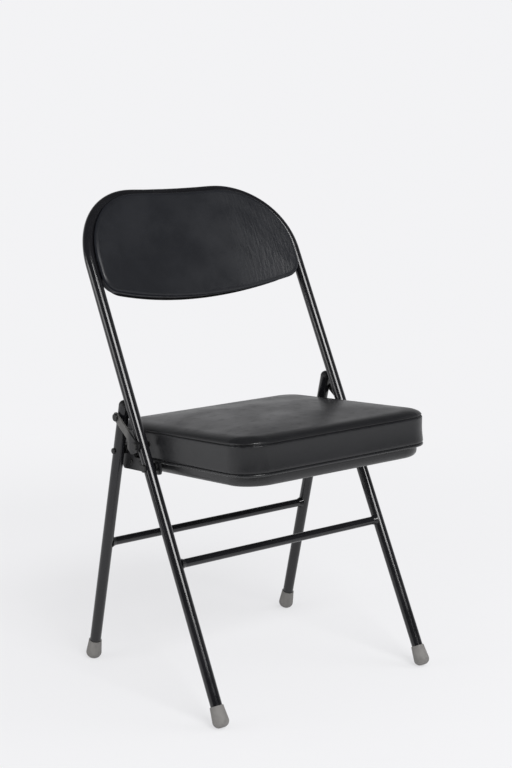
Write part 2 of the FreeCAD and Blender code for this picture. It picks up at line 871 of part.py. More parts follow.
pan_outside = tray("pan_outside", dim.pan_inset, pan_low, pan_high, dim.pan_rounding)
pan_screw_holes = new_sketch(pan_outside, "pan_screw_holes", "XY_Plane")
for hole_place in seat_screw_places():
    add_circle(pan_screw_holes, hole_place, dim.screw_radius + dim.layer_gap)
add_through_pocket(pan_outside, pan_screw_holes)
pan_floor = pan_low + dim.pan_wall
pan_inner_inset = dim.pan_inset + dim.pan_wall
pan_inner_rounding = dim.pan_rounding - dim.pan_wall
pan_inside = tray("pan_inside", pan_inner_inset, pan_floor, pan_high + dim.pan_wall, pan_inner_rounding)
seat_pan = cut("pan", pan_outside, pan_inside)
place_on_seat(seat_pan)
add_node("seat_pan", seat_pan)

board_inset = pan_inner_inset + dim.board_inset
seat_board = tray("board", board_inset, pan_floor + dim.layer_gap, pan_high, pan_inner_rounding)
place_on_seat(seat_board)
add_node("seat_board", seat_board)

seat_screws = []
for number, (screw_x, screw_y) in enumerate(seat_screw_places()):
    screw = turned_body(f"seat_screw_{number}", [
        (ZERO, pan_low - dim.screw_head_height),
        (dim.screw_head_radius, pan_low - dim.screw_head_height),
        (dim.screw_head_radius, pan_low),
        (dim.screw_radius, pan_low),
        (dim.screw_radius, pan_low + dim.screw_length),
        (ZERO, pan_low + dim.screw_length),
    ])
    screw_rim = rings_at(screw.Shape, dim.screw_head_radius, pan_low - dim.screw_head_height)
    add_fillet(screw, screw_rim, dim.head_rounding)
    place(screw, (screw_x, screw_y, ZERO))
    seat_screws.append(screw)
screw_group = grouped("seat_screw_group", seat_screws)
place_on_seat(screw_group)
add_node("seat_screws", screw_group)

# Seat cushion: a boxed band drawn in at half its height, and a crowned top over it

cushion_low = pan_high + dim.layer_gap
seam_high = cushion_low + dim.boxing_height
cushion = new_body("cushion")
cushion_sections = []


def cushion_section(inset, corner, height):
    """One rounded outline of the cushion."""
    sketch = new_sketch(cushion, f"cushion_outline_{len(cushion_sections)}", "XY_Plane", height)
    half_width = dim.seat_half_width - inset
    add_rounded_rectangle(sketch, half_width, inset - dim.seat_front, dim.seat_rear - inset, corner)
    cushion_sections.append(sketch)


# each step of the boxing: share of its height, share of the draw
boxing_steps = ((0, 0), (0.15, 0.5), (0.32, 0.87), (0.5, 1), (0.68, 0.87), (0.85, 0.5), (1, 0))
for height_share, draw_share in boxing_steps:
    inset = dim.boxing_draw * draw_share
    cushion_section(inset, dim.seat_corner - inset, cushion_low + dim.boxing_height * height_share)

# each step of the crown: inset from the seam, share of the corner radius, share of the crown's height
crown_steps = (
    (1.2, 0.98, 0.24),
    (4, 0.94, 0.44),
    (9, 0.88, 0.61),
    (17, 0.82, 0.75),
    (30, 0.76, 0.85),
    (55, 0.7, 0.93),
    (110, 0.66, 1),
)
for crown_inset, corner_share, crown_share in crown_steps:
    crown_high = seam_high + dim.crown_height * crown_share
    cushion_section(as_size(crown_inset), dim.seat_corner * corner_share, crown_high)

cushion_skin = cushion.newObject("PartDesign::AdditiveLoft", "cushion_skin")
cushion_skin.Profile = cushion_sections[0]
cushion_skin.Sections = cushion_sections[1:]
cushion_skin.Ruled = True
document.recompute()
place_on_seat(cushion)
add_node("seat_cushion", cushion)

# Seat brackets: a side plate with an ear for the rear pivot, held off the pan by collared studs

pivot_run = rear_pivot_back - seat_pivot_back
pivot_rise = rear_pivot_high - seat_pivot_high
ear_along = pivot_run * cosine(dim.seat_tilt) - pivot_rise * sine(dim.seat_tilt)
ear_up = pivot_run * sine(dim.seat_tilt) + pivot_rise * cosine(dim.seat_tilt)
bracket_low = pan_low + dim.layer_gap
bracket_high = bracket_low + dim.bracket_height
bracket_rear = ear_along + dim.bracket_ear
stud_places = [
    (ear_along * dim.stud_front_share, ZERO),
    (ear_along * dim.stud_middle_share, ZERO),
    (ear_along * dim.stud_rear_share, ZERO),
]

bracket = new_body("bracket")
bracket_outline = new_sketch(bracket, "bracket_outline", "YZ_Plane", dim.bracket_inner)
add_polygon(bracket_outline, [
    (-dim.bracket_front, bracket_low),
    (bracket_rear, bracket_low),
    (bracket_rear, ear_up + dim.bracket_ear),
    (ear_along - dim.bracket_ear, ear_up + dim.bracket_ear),
    (ear_along - dim.bracket_shoulder, bracket_high),
    (-dim.bracket_front, bracket_high),
])
add_pad(bracket, bracket_outline, dim.bracket_thickness)
add_fillet(bracket, edges_along(bracket.Shape, X_AXIS), dim.bracket_rounding)
bracket_holes = new_sketch(bracket, "bracket_holes", "YZ_Plane", dim.bracket_inner)
add_circle(bracket_holes, (ZERO, ZERO), hole_radius)
add_circle(bracket_holes, (ear_along, ear_up), hole_radius)
for stud_place in stud_places:
    add_circle(bracket_holes, stud_place, dim.stud_radius + dim.slack)
add_through_pocket(bracket, bracket_holes)
place_on_seat(bracket)
add_node("seat_bracket_right", bracket)
add_node("seat_bracket_left", mirrored(bracket, "bracket_mirror"))

studs = []
for number, (stud_along, stud_up) in enumerate(stud_places):
    stud_top = bracket_outer + dim.stud_head_height
    stud = turned_body(f"stud_{number}", [
        (ZERO, pan_half_width),
        (dim.stud_collar_radius, pan_half_width),
        (dim.stud_collar_radius, dim.bracket_inner),
        (dim.stud_radius, dim.bracket_inner),
        (dim.stud_radius, bracket_outer),
        (dim.stud_collar_radius, bracket_outer),
        (dim.stud_collar_radius, stud_top),
        (ZERO, stud_top),
    ])
    add_fillet(stud, rings_at(stud.Shape, dim.stud_collar_radius, stud_top), dim.head_rounding)
    across(stud, stud_along, stud_up)
    studs.append(stud)
    studs.append(mirrored(stud, f"stud_{number}_mirror"))
stud_group = grouped("stud_group", studs)
place_on_seat(stud_group)
add_node("bracket_studs", stud_group)

# Back: a pad that fills the arch and laps over the front of its tube, on a board with a sheet shell behind

back_half_width = tube_inner_side - dim.back_clearance
filling_half_width = tube_inner_side + dim.tube_wall
slab_low = dim.back_low_middle - dim.back_low_rounding
slab_height = dim.arch_top_up - slab_low


def bowed_slab(name, half_width, front, front_bow, rear, rear_bow):
    """A slab with a bowed front and rear, as tall as the back."""
    body = new_body(name)
    sketch = new_sketch(body, name + "_plan", "XY_Plane", slab_low)
    right_front = (half_width, front)
    left_front = (-half_width, front)
    right_rear = (half_width, rear)
    left_rear = (-half_width, rear)
    add_arc(sketch, right_front, left_front, arc_radius(half_width, front_bow), True)
    add_arc(sketch, right_rear, left_rear, arc_radius(half_width, rear_bow), True)
    for near, far in ((right_front, right_rear), (left_front, left_rear)):
        line = sketch.addGeometry(Part.LineSegment(point(near), point(far)))
        hold(sketch, line, 1, near)
        hold(sketch, line, 2, far)
    add_pad(body, sketch, slab_height)
    return body


def back_outline(name, inset, rise, low_inset, low_rounding):
    """A block with the outline of the back, set in from the tube, with a raised arch and lower edge."""
    body = new_body(name)
    sketch = new_sketch(body, name + "_outline", "XZ_Plane")
    half = back_half_width - inset
    top_radius = dim.arch_radius - tube_radius - dim.back_clearance - inset
    low_side = dim.back_low_side + low_inset
    low_middle = dim.back_low_middle + low_inset
    right_low = (half, low_side)
    left_low = (-half, low_side)
    side_high = arch_start + rise
    right_high = (half, side_high)
    left_high = (-half, side_high)
    right_top = (half - top_radius, side_high + top_radius)
    left_top = (top_radius - half, side_high + top_radius)
    for start, end in ((right_low, right_high), (right_top, left_top), (left_high, left_low)):
        line = sketch.addGeometry(Part.LineSegment(point(start), point(end)))
        hold(sketch, line, 1, start)
        hold(sketch, line, 2, end)
    for start, end, turn in ((right_high, right_top, 0), (left_top, left_high, 1)):
        centre_x = half.value - top_radius.value if turn == 0 else top_radius.value - half.value
        circle = Part.Circle(Vector(centre_x, side_high.value, 0), Z_AXIS, top_radius.value)
        arc = sketch.addGeometry(Part.ArcOfCircle(circle, turn * math.pi / 2, (turn + 1) * math.pi / 2))
        hold(sketch, arc, 1, start)
        hold(sketch, arc, 2, end)
        add_rule(sketch, top_radius, "Radius", arc)
    add_arc(sketch, left_low, right_low, arc_radius(half, low_side - low_middle), False)
    pad = add_pad(body, sketch, half)
    pad.Midplane = True
    document.recompute()
    add_fillet(body, lower_corner_edges(body.Shape, low_side), low_rounding)
    return body


def lower_corner_edges(shape, low_side):
    """Names the two front-to-rear edges at the lower corners of the back."""
    names = []
    for number, edge in enumerate(shape.Edges, start=1):
        box = edge.BoundBox
        if box.ZLength < 1e-6 and box.XLength < 1e-6 and abs(box.ZMin - low_side.value) < 1e-4:
            names.append(f"Edge{number}")
    return names


board_front = dim.filling_rear + dim.layer_gap
board_rear = board_front + dim.board_thickness
shell_front = board_rear + dim.layer_gap
shell_rear = shell_front + dim.shell_thickness
board_low = dim.filling_low + dim.board_edge

lap_bow = dim.arch_bow - dim.pad_crown
lap_block = common(
    "lap_block",
    bowed_slab("lap_slab", half_spacing, dim.pad_front, lap_bow, dim.lap_rear, dim.arch_bow),
    back_outline("lap_outline", -dim.lap_side, dim.lap_rise, ZERO, dim.back_low_rounding),
)
front_edges = []
largest_faces = sorted(lap_block.Shape.Faces, key=lambda face: face.Area)[-2:]
pad_front_face = min(largest_faces, key=lambda face: face.CenterOfMass.y)
for edge in pad_front_face.Edges:
    for number, candidate in enumerate(lap_block.Shape.Edges, start=1):
        if candidate.isSame(edge):
            front_edges.append((number, dim.pad_rounding.value, dim.pad_rounding.value))
lap = document.addObject("Part::Fillet", "lap_rounded")
lap.Base = lap_block
lap.Edges = front_edges
document.recompute()
filling_slab = bowed_slab(
    "filling_slab", filling_half_width, dim.filling_front, dim.arch_bow, dim.filling_rear, dim.back_bow
)
filling_outline = back_outline("filling_outline", ZERO, ZERO, dim.filling_low, dim.filling_low_rounding)
filling = common("filling_block", filling_slab, filling_outline)
back_pad = joined("back_pad_whole", [lap, filling])
place_on_front(back_pad)
add_node("back_pad", back_pad)

back_board = common(
    "back_board_block",
    bowed_slab("board_slab", filling_half_width, board_front, dim.back_bow, board_rear, dim.back_bow),
    back_outline("board_outline", dim.board_edge, ZERO, board_low, dim.filling_low_rounding),
)
place_on_front(back_board)
add_node("back_board", back_board)

back_shell = common(
    "back_shell_block",
    bowed_slab("shell_slab", filling_half_width, shell_front, dim.back_bow, shell_rear, dim.back_bow),
    back_outline("shell_outline", dim.layer_gap, ZERO, dim.filling_low, dim.filling_low_rounding),
)
place_on_front(back_shell)
add_node("back_shell", back_shell)

# Tabs welded to the tube behind the shell, each with one screw into the board

shell_radius = arc_radius(filling_half_width, dim.back_bow)
tab_slope = arcsine(dim.tab_across / shell_radius)
tab_back = shell_rear + dim.layer_gap + dim.back_bow - shell_radius + shell_radius * cosine(tab_slope)
tab_half_length = dim.tab_length / 2
tab_half_height = dim.tab_height / 2
screw_tip = -(dim.shell_thickness + dim.board_thickness - dim.layer_gap)
screw_top = dim.tab_thickness + dim.screw_head_height
tabs = []
tab_screws = []
for name, tab_up in (("tab_low", dim.tab_low_up), ("tab_high", dim.tab_high_up)):
    plate = new_body(name + "_plate")
    outline = new_sketch(plate, name + "_outline", "XZ_Plane", -dim.tab_thickness)
    add_polygon(outline, [
        (-tab_half_length, -tab_half_height),
        (tab_half_length, -tab_half_height),
        (tab_half_length, tab_half_height),
        (-tab_half_length, tab_half_height),
    ])
    add_circle(outline, (ZERO, ZERO), dim.screw_radius + dim.slack)
    add_pad(plate, outline, dim.tab_thickness)
    screw = turned_body(name + "_screw", [
        (ZERO, screw_tip),
        (dim.screw_radius, screw_tip),
        (dim.screw_radius, dim.tab_thickness),
        (dim.screw_head_radius, dim.tab_thickness),
        (dim.screw_head_radius, screw_top),
        (ZERO, screw_top),
    ], "XY_Plane")
    add_fillet(screw, rings_at(screw.Shape, dim.screw_head_radius, screw_top, Y_AXIS), dim.head_rounding)
    for item in (plate, screw):
        place(item, (dim.tab_across, tab_back, tab_up), -Z_AXIS, tab_slope)
    tab = cut(name, plate, frame_outside)
    tabs += [tab, mirrored(tab, name + "_mirror")]
    tab_screws += [screw, mirrored(screw, name + "_screw_mirror")]
tab_group = grouped("tab_group", tabs)
place_on_front(tab_group)
add_node("back_tabs", tab_group)
tab_screw_group = grouped("tab_screw_group", tab_screws)
place_on_front(tab_screw_group)
add_node("back_screws", tab_screw_group)

# Check every object, then write one file per sub-part

document.recompute()
for item in document.Objects:
    if "Invalid" in item.State or "Error" in item.State:
        raise RuntimeError(f"{item.Name} is not right: {item.State}")
os.makedirs("parts", exist_ok=True)
for name, item in nodes.items():
    shape = item.Shape
    if shape.isNull() or not shape.isValid():
        raise RuntimeError(name + " has no valid shape")
    shape.exportStep(f"parts/{name}.step")
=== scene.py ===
"""A padded steel folding chair: soft covers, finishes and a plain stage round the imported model."""

import json
import math

import bmesh
import bpy
from mathutils import Matrix, Vector, noise


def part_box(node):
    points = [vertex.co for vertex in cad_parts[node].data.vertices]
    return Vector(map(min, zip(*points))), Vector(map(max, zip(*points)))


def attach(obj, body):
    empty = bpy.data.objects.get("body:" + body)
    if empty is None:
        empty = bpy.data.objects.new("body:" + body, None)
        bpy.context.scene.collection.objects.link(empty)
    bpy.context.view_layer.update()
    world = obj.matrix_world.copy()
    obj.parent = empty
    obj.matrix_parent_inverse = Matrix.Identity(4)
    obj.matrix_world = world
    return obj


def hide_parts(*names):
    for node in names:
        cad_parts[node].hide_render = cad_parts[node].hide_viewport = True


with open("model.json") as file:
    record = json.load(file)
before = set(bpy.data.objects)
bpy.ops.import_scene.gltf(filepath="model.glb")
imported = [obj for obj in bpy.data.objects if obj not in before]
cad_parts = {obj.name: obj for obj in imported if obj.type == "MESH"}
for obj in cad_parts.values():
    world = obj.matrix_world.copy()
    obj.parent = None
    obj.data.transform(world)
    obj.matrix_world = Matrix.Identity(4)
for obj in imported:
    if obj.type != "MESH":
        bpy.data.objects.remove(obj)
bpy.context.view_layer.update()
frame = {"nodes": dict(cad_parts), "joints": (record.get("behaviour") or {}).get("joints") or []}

bl_info = {
    "name": "Padded folding chair",
    "version": (1, 0, 0),
    "blender": (4, 5, 0),
    "location": "3D View > Sidebar > Chair",
    "description": "Covers the seat and back, finishes the steel and sets a plain stage",
    "category": "Object",
}

IMAGE_HEIGHT = 768
SIMULATED_FRAMES = 20

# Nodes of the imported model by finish

GLOSS_PAINT_NODES = (
    "front_frame_tube", "front_crossbar", "front_crossbar_welds",
    "rear_leg_left", "rear_leg_right", "rear_crossbar", "rear_crossbar_welds",
)
SATIN_PAINT_NODES = ("seat_pan", "seat_bracket_left", "seat_bracket_right", "back_tabs")
FOOT_CAP_NODES = ("front_left_foot_cap", "front_right_foot_cap", "rear_left_foot_cap", "rear_right_foot_cap")
LINK_NODES = ("fold_link_left", "fold_link_right")
DARK_STEEL_NODES = (
    "seat_pivot_bolts", "rear_pivot_bolts", "seat_pivot_spacers", "rear_pivot_spacers", "bracket_studs",
    "link_pivot_rivets", "link_end_rivet_left", "link_end_rivet_right", "link_pivot_washers",
)
ZINC_NODES = ("seat_pivot_nuts", "rear_pivot_nuts", "seat_screws", "back_screws")
PLASTIC_NODES = ("rear_leg_plugs", "back_shell")
PLYWOOD_NODES = ("seat_board", "back_board")


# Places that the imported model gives

def joint_place(name):
    """Where a joint sits, on the middle plane of the chair."""
    for joint in frame["joints"]:
        if joint["name"] == name:
            place = Vector(joint["pos_m"])
            place.x = 0
            return place
    raise RuntimeError(f"the packed model has no joint {name}")


seat_pivot = joint_place("seat_fold")
link_pivot = joint_place("left_link_turn")
front_lean = math.atan2(link_pivot.y - seat_pivot.y, link_pivot.z - seat_pivot.z)


# Settings that a user would change

def number(label, description, default, **kind):
    """A number that a user may change, with its unit or subtype."""
    return bpy.props.FloatProperty(name=label, description=description, default=default, **kind)


def length(label, description, default):
    """A length that a user may change."""
    return number(label, description, default, unit="LENGTH")


def triple(label, description, default, **kind):
    """Three numbers that a user may change, with their subtype."""
    return bpy.props.FloatVectorProperty(name=label, description=description, default=default, **kind)


def tint(label, description, default):
    """A colour that a user may change."""
    return triple(label, description, default, subtype="COLOR", min=0, max=1)


class ChairSeatSettings(bpy.types.PropertyGroup):
    """The seat cover, measured from the seat's pivot along the tilted seat."""

    half_width: length(
        "Half width", "From the middle to the side of the cover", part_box("seat_cushion")[1].x)
    front: length("Front", "From the pivot to the front edge", 0.233)
    rear: length("Rear", "From the pivot to the rear edge", 0.138)
    corner: length("Corner", "Radius of the corners seen from above", 0.046)
    tilt: number("Tilt", "Rise of the seat to the front", math.radians(5.05), subtype="ANGLE")
    underside: length("Underside", "Height of the cover's underside", 0.0088)
    seam: length("Seam", "Height of the seam round the top panel", 0.0527)
    seam_depth: length("Seam depth", "How far the seam pulls in", 0.0032)
    draw: length("Draw", "How far the side band pulls in at half its height", 0.001)
    crown: length("Crown", "Height of the stuffed top panel over its seam", 0.018)
    swell: length("Swell", "Most that the stuffing may lift the top panel", 0.004)
    pressure: number("Pressure", "Pressure of the stuffing in the cloth simulation", 4.0)
    piping_radius: length("Piping radius", "Radius of the piping round the lower edge", 0.0026)
    piping_height: length("Piping height", "Height of the piping's middle", 0.0066)
    piping_inset: length("Piping inset", "How far the piping's middle lies inside the cover's side", 0.003)
    spacing: length("Spacing", "Size of the squares that the cover starts from", 0.0062)


class ChairBackSettings(bpy.types.PropertyGroup):
    """The back cover, measured from the seat's pivot up the front tubes and forwards from their plane."""

    half_width: length("Half width", "From the middle to the side of the cover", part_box("back_pad")[1].x)
    low_side: length("Low side", "Height of the lower edge at the tubes", 0.30195)
    low_drop: length("Low drop", "How far the lower edge hangs down in the middle", 0.0175)
    top: length("Top", "Height of the top edge", 0.47815)
    low_corner: length("Low corner", "Radius of the lower corners", 0.026)
    top_corner: length("Top corner", "Radius of the upper corners", 0.124)
    front_face: length(
        "Front face", "How far the front of the cover's edge stands ahead of the tubes", 0.017)
    lap_rear: length(
        "Lap rear", "How far the rear of the lap over the tubes stands ahead of their plane", 0.0100)
    lap: length("Lap", "How far the cover laps over the tubes", 0.0032)
    lap_rise: length("Lap rise", "How much higher the lap stands than the filling inside the arch", 0.0043)
    wrap: length("Wrap", "How far the cover wraps back round the edge of the board", 0.0072)
    low_tuck: length("Low tuck", "How far the lower edge rises towards the rear", 0.0024)
    front_bow: length("Front bow", "How far the lap curves to the rear between the tubes", 0.0262)
    rear_bow: length("Rear bow", "How far the board curves to the rear between the tubes", 0.030)
    tube_half_spacing: length("Tube half spacing", "From the middle to the line of a front tube", 0.2143)
    board_half_width: length(
        "Board half width", "Half the width over which the board's bow is measured", 0.206)
    crown: length("Crown", "How much fuller the cover is in its middle than at its edge", 0.004)
    swell: length("Swell", "Most that the stuffing may lift the front", 0.0016)
    pressure: number("Pressure", "Pressure of the stuffing in the cloth simulation", 4.0)
    spacing: length("Spacing", "Size of the squares that the cover starts from", 0.0052)


class ChairFinishSettings(bpy.types.PropertyGroup):
    """Colours of the chair's finishes."""

    paint: tint("Paint", "Gloss paint on the tubes", (0.008, 0.008, 0.0095))
    satin_paint: tint("Satin paint", "Satin paint on the pressed steel", (0.013, 0.013, 0.014))
    seat_vinyl: tint("Seat vinyl", "Vinyl of the seat cover", (0.0125, 0.0128, 0.0142))
    back_vinyl: tint("Back vinyl", "Vinyl of the back cover", (0.0125, 0.0135, 0.0168))
    foot_cap: tint("Foot cap", "Moulded foot caps", (0.185, 0.179, 0.171))
    # Painted sheen: this grey stands in for the light that the black-painted links reflect along their
    # straight part.
    link: tint("Fold link", "Flat links of the fold", (0.11, 0.108, 0.104))
    dark_steel: tint("Dark steel", "Blackened rivets, bolts, studs, washers and spacers", (0.03, 0.03, 0.03))
    zinc: tint("Zinc", "Plated nuts and screws", (0.33, 0.33, 0.32))
    plastic: tint("Plastic", "Plugs and back shell", (0.014, 0.014, 0.015))
    plywood: tint("Plywood", "Boards under the covers", (0.46, 0.32, 0.19))


class ChairStageSettings(bpy.types.PropertyGroup):
    """Floor, light and camera."""

    floor: tint("Floor", "Colour of the floor", (0.88, 0.88, 0.89))
    backdrop: tint("Backdrop", "Colour that the background shows", (0.895, 0.895, 0.91))
    dome: number("Dome", "Even light from all round", 0.55)
    key_power: number("Key power", "Power of the soft light high in front", 240.0, unit="POWER")
    side_power: number("Side power", "Power of the low light on the left", 13.0, unit="POWER")
    right_power: number("Right power", "Power of the light on the right", 12.0, unit="POWER")
    eye: triple("Eye", "Place of the camera", (-1.5205, -1.98037, 0.98113), subtype="XYZ")
    aim: triple("Aim", "Point that the camera looks at", (0.0012, -0.01389, 0.48752), subtype="XYZ")
    roll: number("Roll", "Turn of the camera about its view", math.radians(0.221), subtype="ANGLE")
    focal_pixels: number("Focal length", "Focal length in pixels of the picture's long side", 1516.27)


# Helpers for modelling

def deselect_all():
    """Leaves nothing selected."""
    for item in list(bpy.context.selected_objects):
        item.select_set(False)


def make_active(piece):
    """Selects one piece alone."""
    deselect_all()
    piece.select_set(True)
    bpy.context.view_layer.objects.active = piece


def apply_place(piece, place):
    """Puts a piece in its place, moves that place into its mesh and shades it smooth."""
    make_active(piece)
    piece.matrix_world = place
    bpy.context.view_layer.update()
    bpy.ops.object.transform_apply(location=True, rotation=True, scale=True)
    bpy.ops.object.shade_smooth()


def subdivide(piece):
    """Rounds a piece by one level of subdivision."""
    make_active(piece)
    bpy.ops.object.modifier_add(type="SUBSURF")
    modifier = piece.modifiers[-1]
    modifier.levels = modifier.render_levels = 1
    bpy.ops.object.modifier_apply(modifier=modifier.name)


class Outline:
    """A rectangle with one corner radius at its low end and one at its high end."""

    def __init__(self, half_width, low, high, low_corner, high_corner):
        self.half_width = half_width
        self.low = low
        self.high = high
        self.low_corner = low_corner
        self.high_corner = high_corner
        self.middle = (low + high) / 2
        self.half_length = (high - low) / 2

    def rounded(self, x, y):
        """Moves a point of the plain rectangle to its place in the rounded one."""
        for edge, radius, side in ((self.low, self.low_corner, -1), (self.high, self.high_corner, 1)):
            across = (abs(x) - self.half_width + radius) / radius
            along = (side * (y - edge) + radius) / radius
            if across > 0 and along > 0:
                new_across = across * math.sqrt(1 - along * along / 2)
                new_along = along * math.sqrt(1 - across * across / 2)
                new_x = self.half_width - radius + radius * new_across
                return math.copysign(new_x, x), edge + side * radius * (new_along - 1)
        return x, y

    def edge_distance(self, x, y):
        """How far inside the rounded outline a point lies."""
        radius = self.high_corner if y > self.middle else self.low_corner
        across = abs(x) - self.half_width + radius
        along = abs(y - self.middle) - self.half_length + radius
        outside = math.hypot(max(across, 0), max(along, 0))
        return radius - outside - min(max(across, along), 0)


EDGE_CROWDING = 0.62


def crowded(share):
    """Crowds evenly spaced lines from -1 to 1 towards both ends."""
    return (1 - EDGE_CROWDING) * share + EDGE_CROWDING * math.sin(share * math.pi / 2)


def add_sheet(name, outline, spacing):
    """Adds a flat sheet of small squares in the shape of an outline."""
    deselect_all()
    bpy.ops.mesh.primitive_grid_add(
        x_subdivisions=round(2 * outline.half_width / spacing),
        y_subdivisions=round(2 * outline.half_length / spacing),
        size=2,
    )
    piece = bpy.context.object
    piece.name = name
    piece.data.name = name
    for vertex in piece.data.vertices:
        x = outline.half_width * crowded(vertex.co.x)
        y = outline.middle + outline.half_length * crowded(vertex.co.y)
        vertex.co.x, vertex.co.y = outline.rounded(x, y)
    return piece


def raise_rings(piece, outline, rings):
    """Extrudes a sheet upwards ring by ring. Each ring has a height and an inset from the outline."""
    make_active(piece)
    bpy.ops.object.mode_set(mode="EDIT")
    bpy.ops.mesh.select_mode(type="FACE")
    bpy.ops.mesh.select_all(action="SELECT")
    height = 0
    inset = 0
    for step, (next_height, next_inset) in enumerate(rings):
        rise = (0, 0, next_height - height)
        if step == 0:
            bpy.ops.transform.translate(value=rise)
        else:
            bpy.ops.mesh.extrude_region_move(TRANSFORM_OT_translate={"value": rise})
        across = (outline.half_width - next_inset) / (outline.half_width - inset)
        along = (outline.half_length - next_inset) / (outline.half_length - inset)
        bpy.ops.transform.resize(value=(across, along, 1), center_override=(0, outline.middle, 0))
        height = next_height
        inset = next_inset
    bpy.ops.object.mode_set(mode="OBJECT")


def face_outwards(piece):
    """Turns every face of a closed piece outwards."""
    make_active(piece)
    bpy.ops.object.mode_set(mode="EDIT")
    bpy.ops.mesh.select_all(action="SELECT")
    bpy.ops.mesh.normals_make_consistent(inside=False)
    bpy.ops.object.mode_set(mode="OBJECT")


def crease_ring(piece, height, strength):
    """Keeps one level ring of edges sharp under subdivision."""
    make_active(piece)
    bpy.ops.object.mode_set(mode="EDIT")
    bpy.ops.mesh.select_mode(type="EDGE")
    bpy.ops.mesh.select_all(action="DESELECT")
    mesh = bmesh.from_edit_mesh(piece.data)
    near = 1e-5
    for edge in mesh.edges:
        if all(abs(vertex.co.z - height) < near for vertex in edge.verts):
            edge.select_set(True)
    bmesh.update_edit_mesh(piece.data)
    bpy.ops.transform.edge_crease(value=strength)
    bpy.ops.object.mode_set(mode="OBJECT")


def swell(piece, free_share, pressure, most):
    """Swells a padded piece by a cloth simulation. free_share gives how freely each point moves."""
    starts = [vertex.co.copy() for vertex in piece.data.vertices]
    group = piece.vertex_groups.new(name="held")
    for vertex in piece.data.vertices:
        group.add([vertex.index], 1 - free_share(vertex.co), "REPLACE")
    make_active(piece)
    bpy.ops.object.modifier_add(type="CLOTH")
    cloth = piece.modifiers[-1]
    cloth.settings.use_pressure = True
    cloth.settings.uniform_pressure_force = pressure
    cloth.settings.vertex_group_mass = group.name
    cloth.settings.effector_weights.gravity = 0
    cloth.point_cache.frame_start = 1
    cloth.point_cache.frame_end = SIMULATED_FRAMES
    scene = bpy.context.scene
    for step in range(1, SIMULATED_FRAMES + 1):
        scene.frame_set(step)
    bpy.ops.object.modifier_apply(modifier=cloth.name)
    scene.frame_set(1)
    piece.vertex_groups.clear()
    for vertex, start in zip(piece.data.vertices, starts):
        move = vertex.co - start
        limit = most * free_share(start)
        if move.length > limit:
            vertex.co = start + move * (limit / move.length)


def eased(share):
    """A smooth step from 0 to 1."""
    share = min(max(share, 0), 1)
    return share * share * (3 - 2 * share)


NEAR = 1e-6


def stuff(piece, outline, size, face, inset, crown_share, held, free):
    """Crowns the top of a raised sheet over the height of its face and swells it.

    The top begins at an inset from the outline. It is held to the depth of held and free further in.
    """
    crown = size.crown - size.swell
    for vertex in piece.data.vertices:
        if vertex.co.z > face - NEAR:
            distance = max(outline.edge_distance(vertex.co.x, vertex.co.y) - inset, 0)
            vertex.co.z = face + crown * crown_share(distance)
    face_outwards(piece)

    def free_share(point):
        if point.z < face + NEAR:
            return 0
        return eased((outline.edge_distance(point.x, point.y) - held) / free)

    swell(piece, free_share, size.pressure, size.swell)


# Shader node groups that several finishes share

def new_group(name, values, outputs):
    """Starts a shader node group that takes a place and some values and gives others."""
    group = bpy.data.node_groups.new(name, "ShaderNodeTree")
    group.interface.new_socket("Vector", in_out="INPUT", socket_type="NodeSocketVector")
    for label, default in values.items():
        socket = group.interface.new_socket(label, in_out="INPUT", socket_type="NodeSocketFloat")
        socket.default_value = default
    for label in outputs:
        group.interface.new_socket(label, in_out="OUTPUT", socket_type="NodeSocketFloat")
    return group, group.nodes.new("NodeGroupInput"), group.nodes.new("NodeGroupOutput")


def feed(tree, socket, source):
    """Links another node's output to a socket, or sets the socket to a plain value."""
    if isinstance(source, bpy.types.NodeSocket):
        tree.links.new(source, socket)
    else:
        socket.default_value = source


def add_node(tree, kind, sources=None, **properties):
    """Adds a shader node, sets its properties and feeds its inputs, given by name or count."""
    node = tree.nodes.new(kind)
    for name, value in properties.items():
        setattr(node, name, value)
    for name, source in (sources or {}).items():
        feed(tree, node.inputs[name], source)
    return node


def math_node(tree, operation, first, second):
    """Adds a math node between two sockets or numbers and gives its output."""
    return add_node(tree, "ShaderNodeMath", {0: first, 1: second}, operation=operation).outputs[0]


def range_node(tree, source, low, high, to_low=0.0, to_high=1.0):
    """Adds a node that maps one range of values to another, smoothly, and gives its output."""
    sources = {0: source, 1: low, 2: high, 3: to_low, 4: to_high}
    return add_node(tree, "ShaderNodeMapRange", sources, interpolation_type="SMOOTHSTEP").outputs[0]


# The pressed grain: scales of its noises over that of its cells, a cell's shift, the fine noise's part, and
# how far from its edge a pebble is full and a crease ends
GRAIN_WARP_SCALE = 0.5
GRAIN_FINE_SCALE = 2.4
GRAIN_SHIFT = 0.0006
GRAIN_FINE_PART = 0.35
PEBBLE_FULL = 0.22
CREASE_END = 0.1

# The ranges of noise that tones, smudges and scuffs take up, and how much finer smudges are than tones
TONE_NOISE = (0.3, 0.7)
SMUDGE_NOISE = (0.52, 0.72)
SCUFF_NOISE = (0.66, 0.74)
SMUDGE_SCALE = 6.0


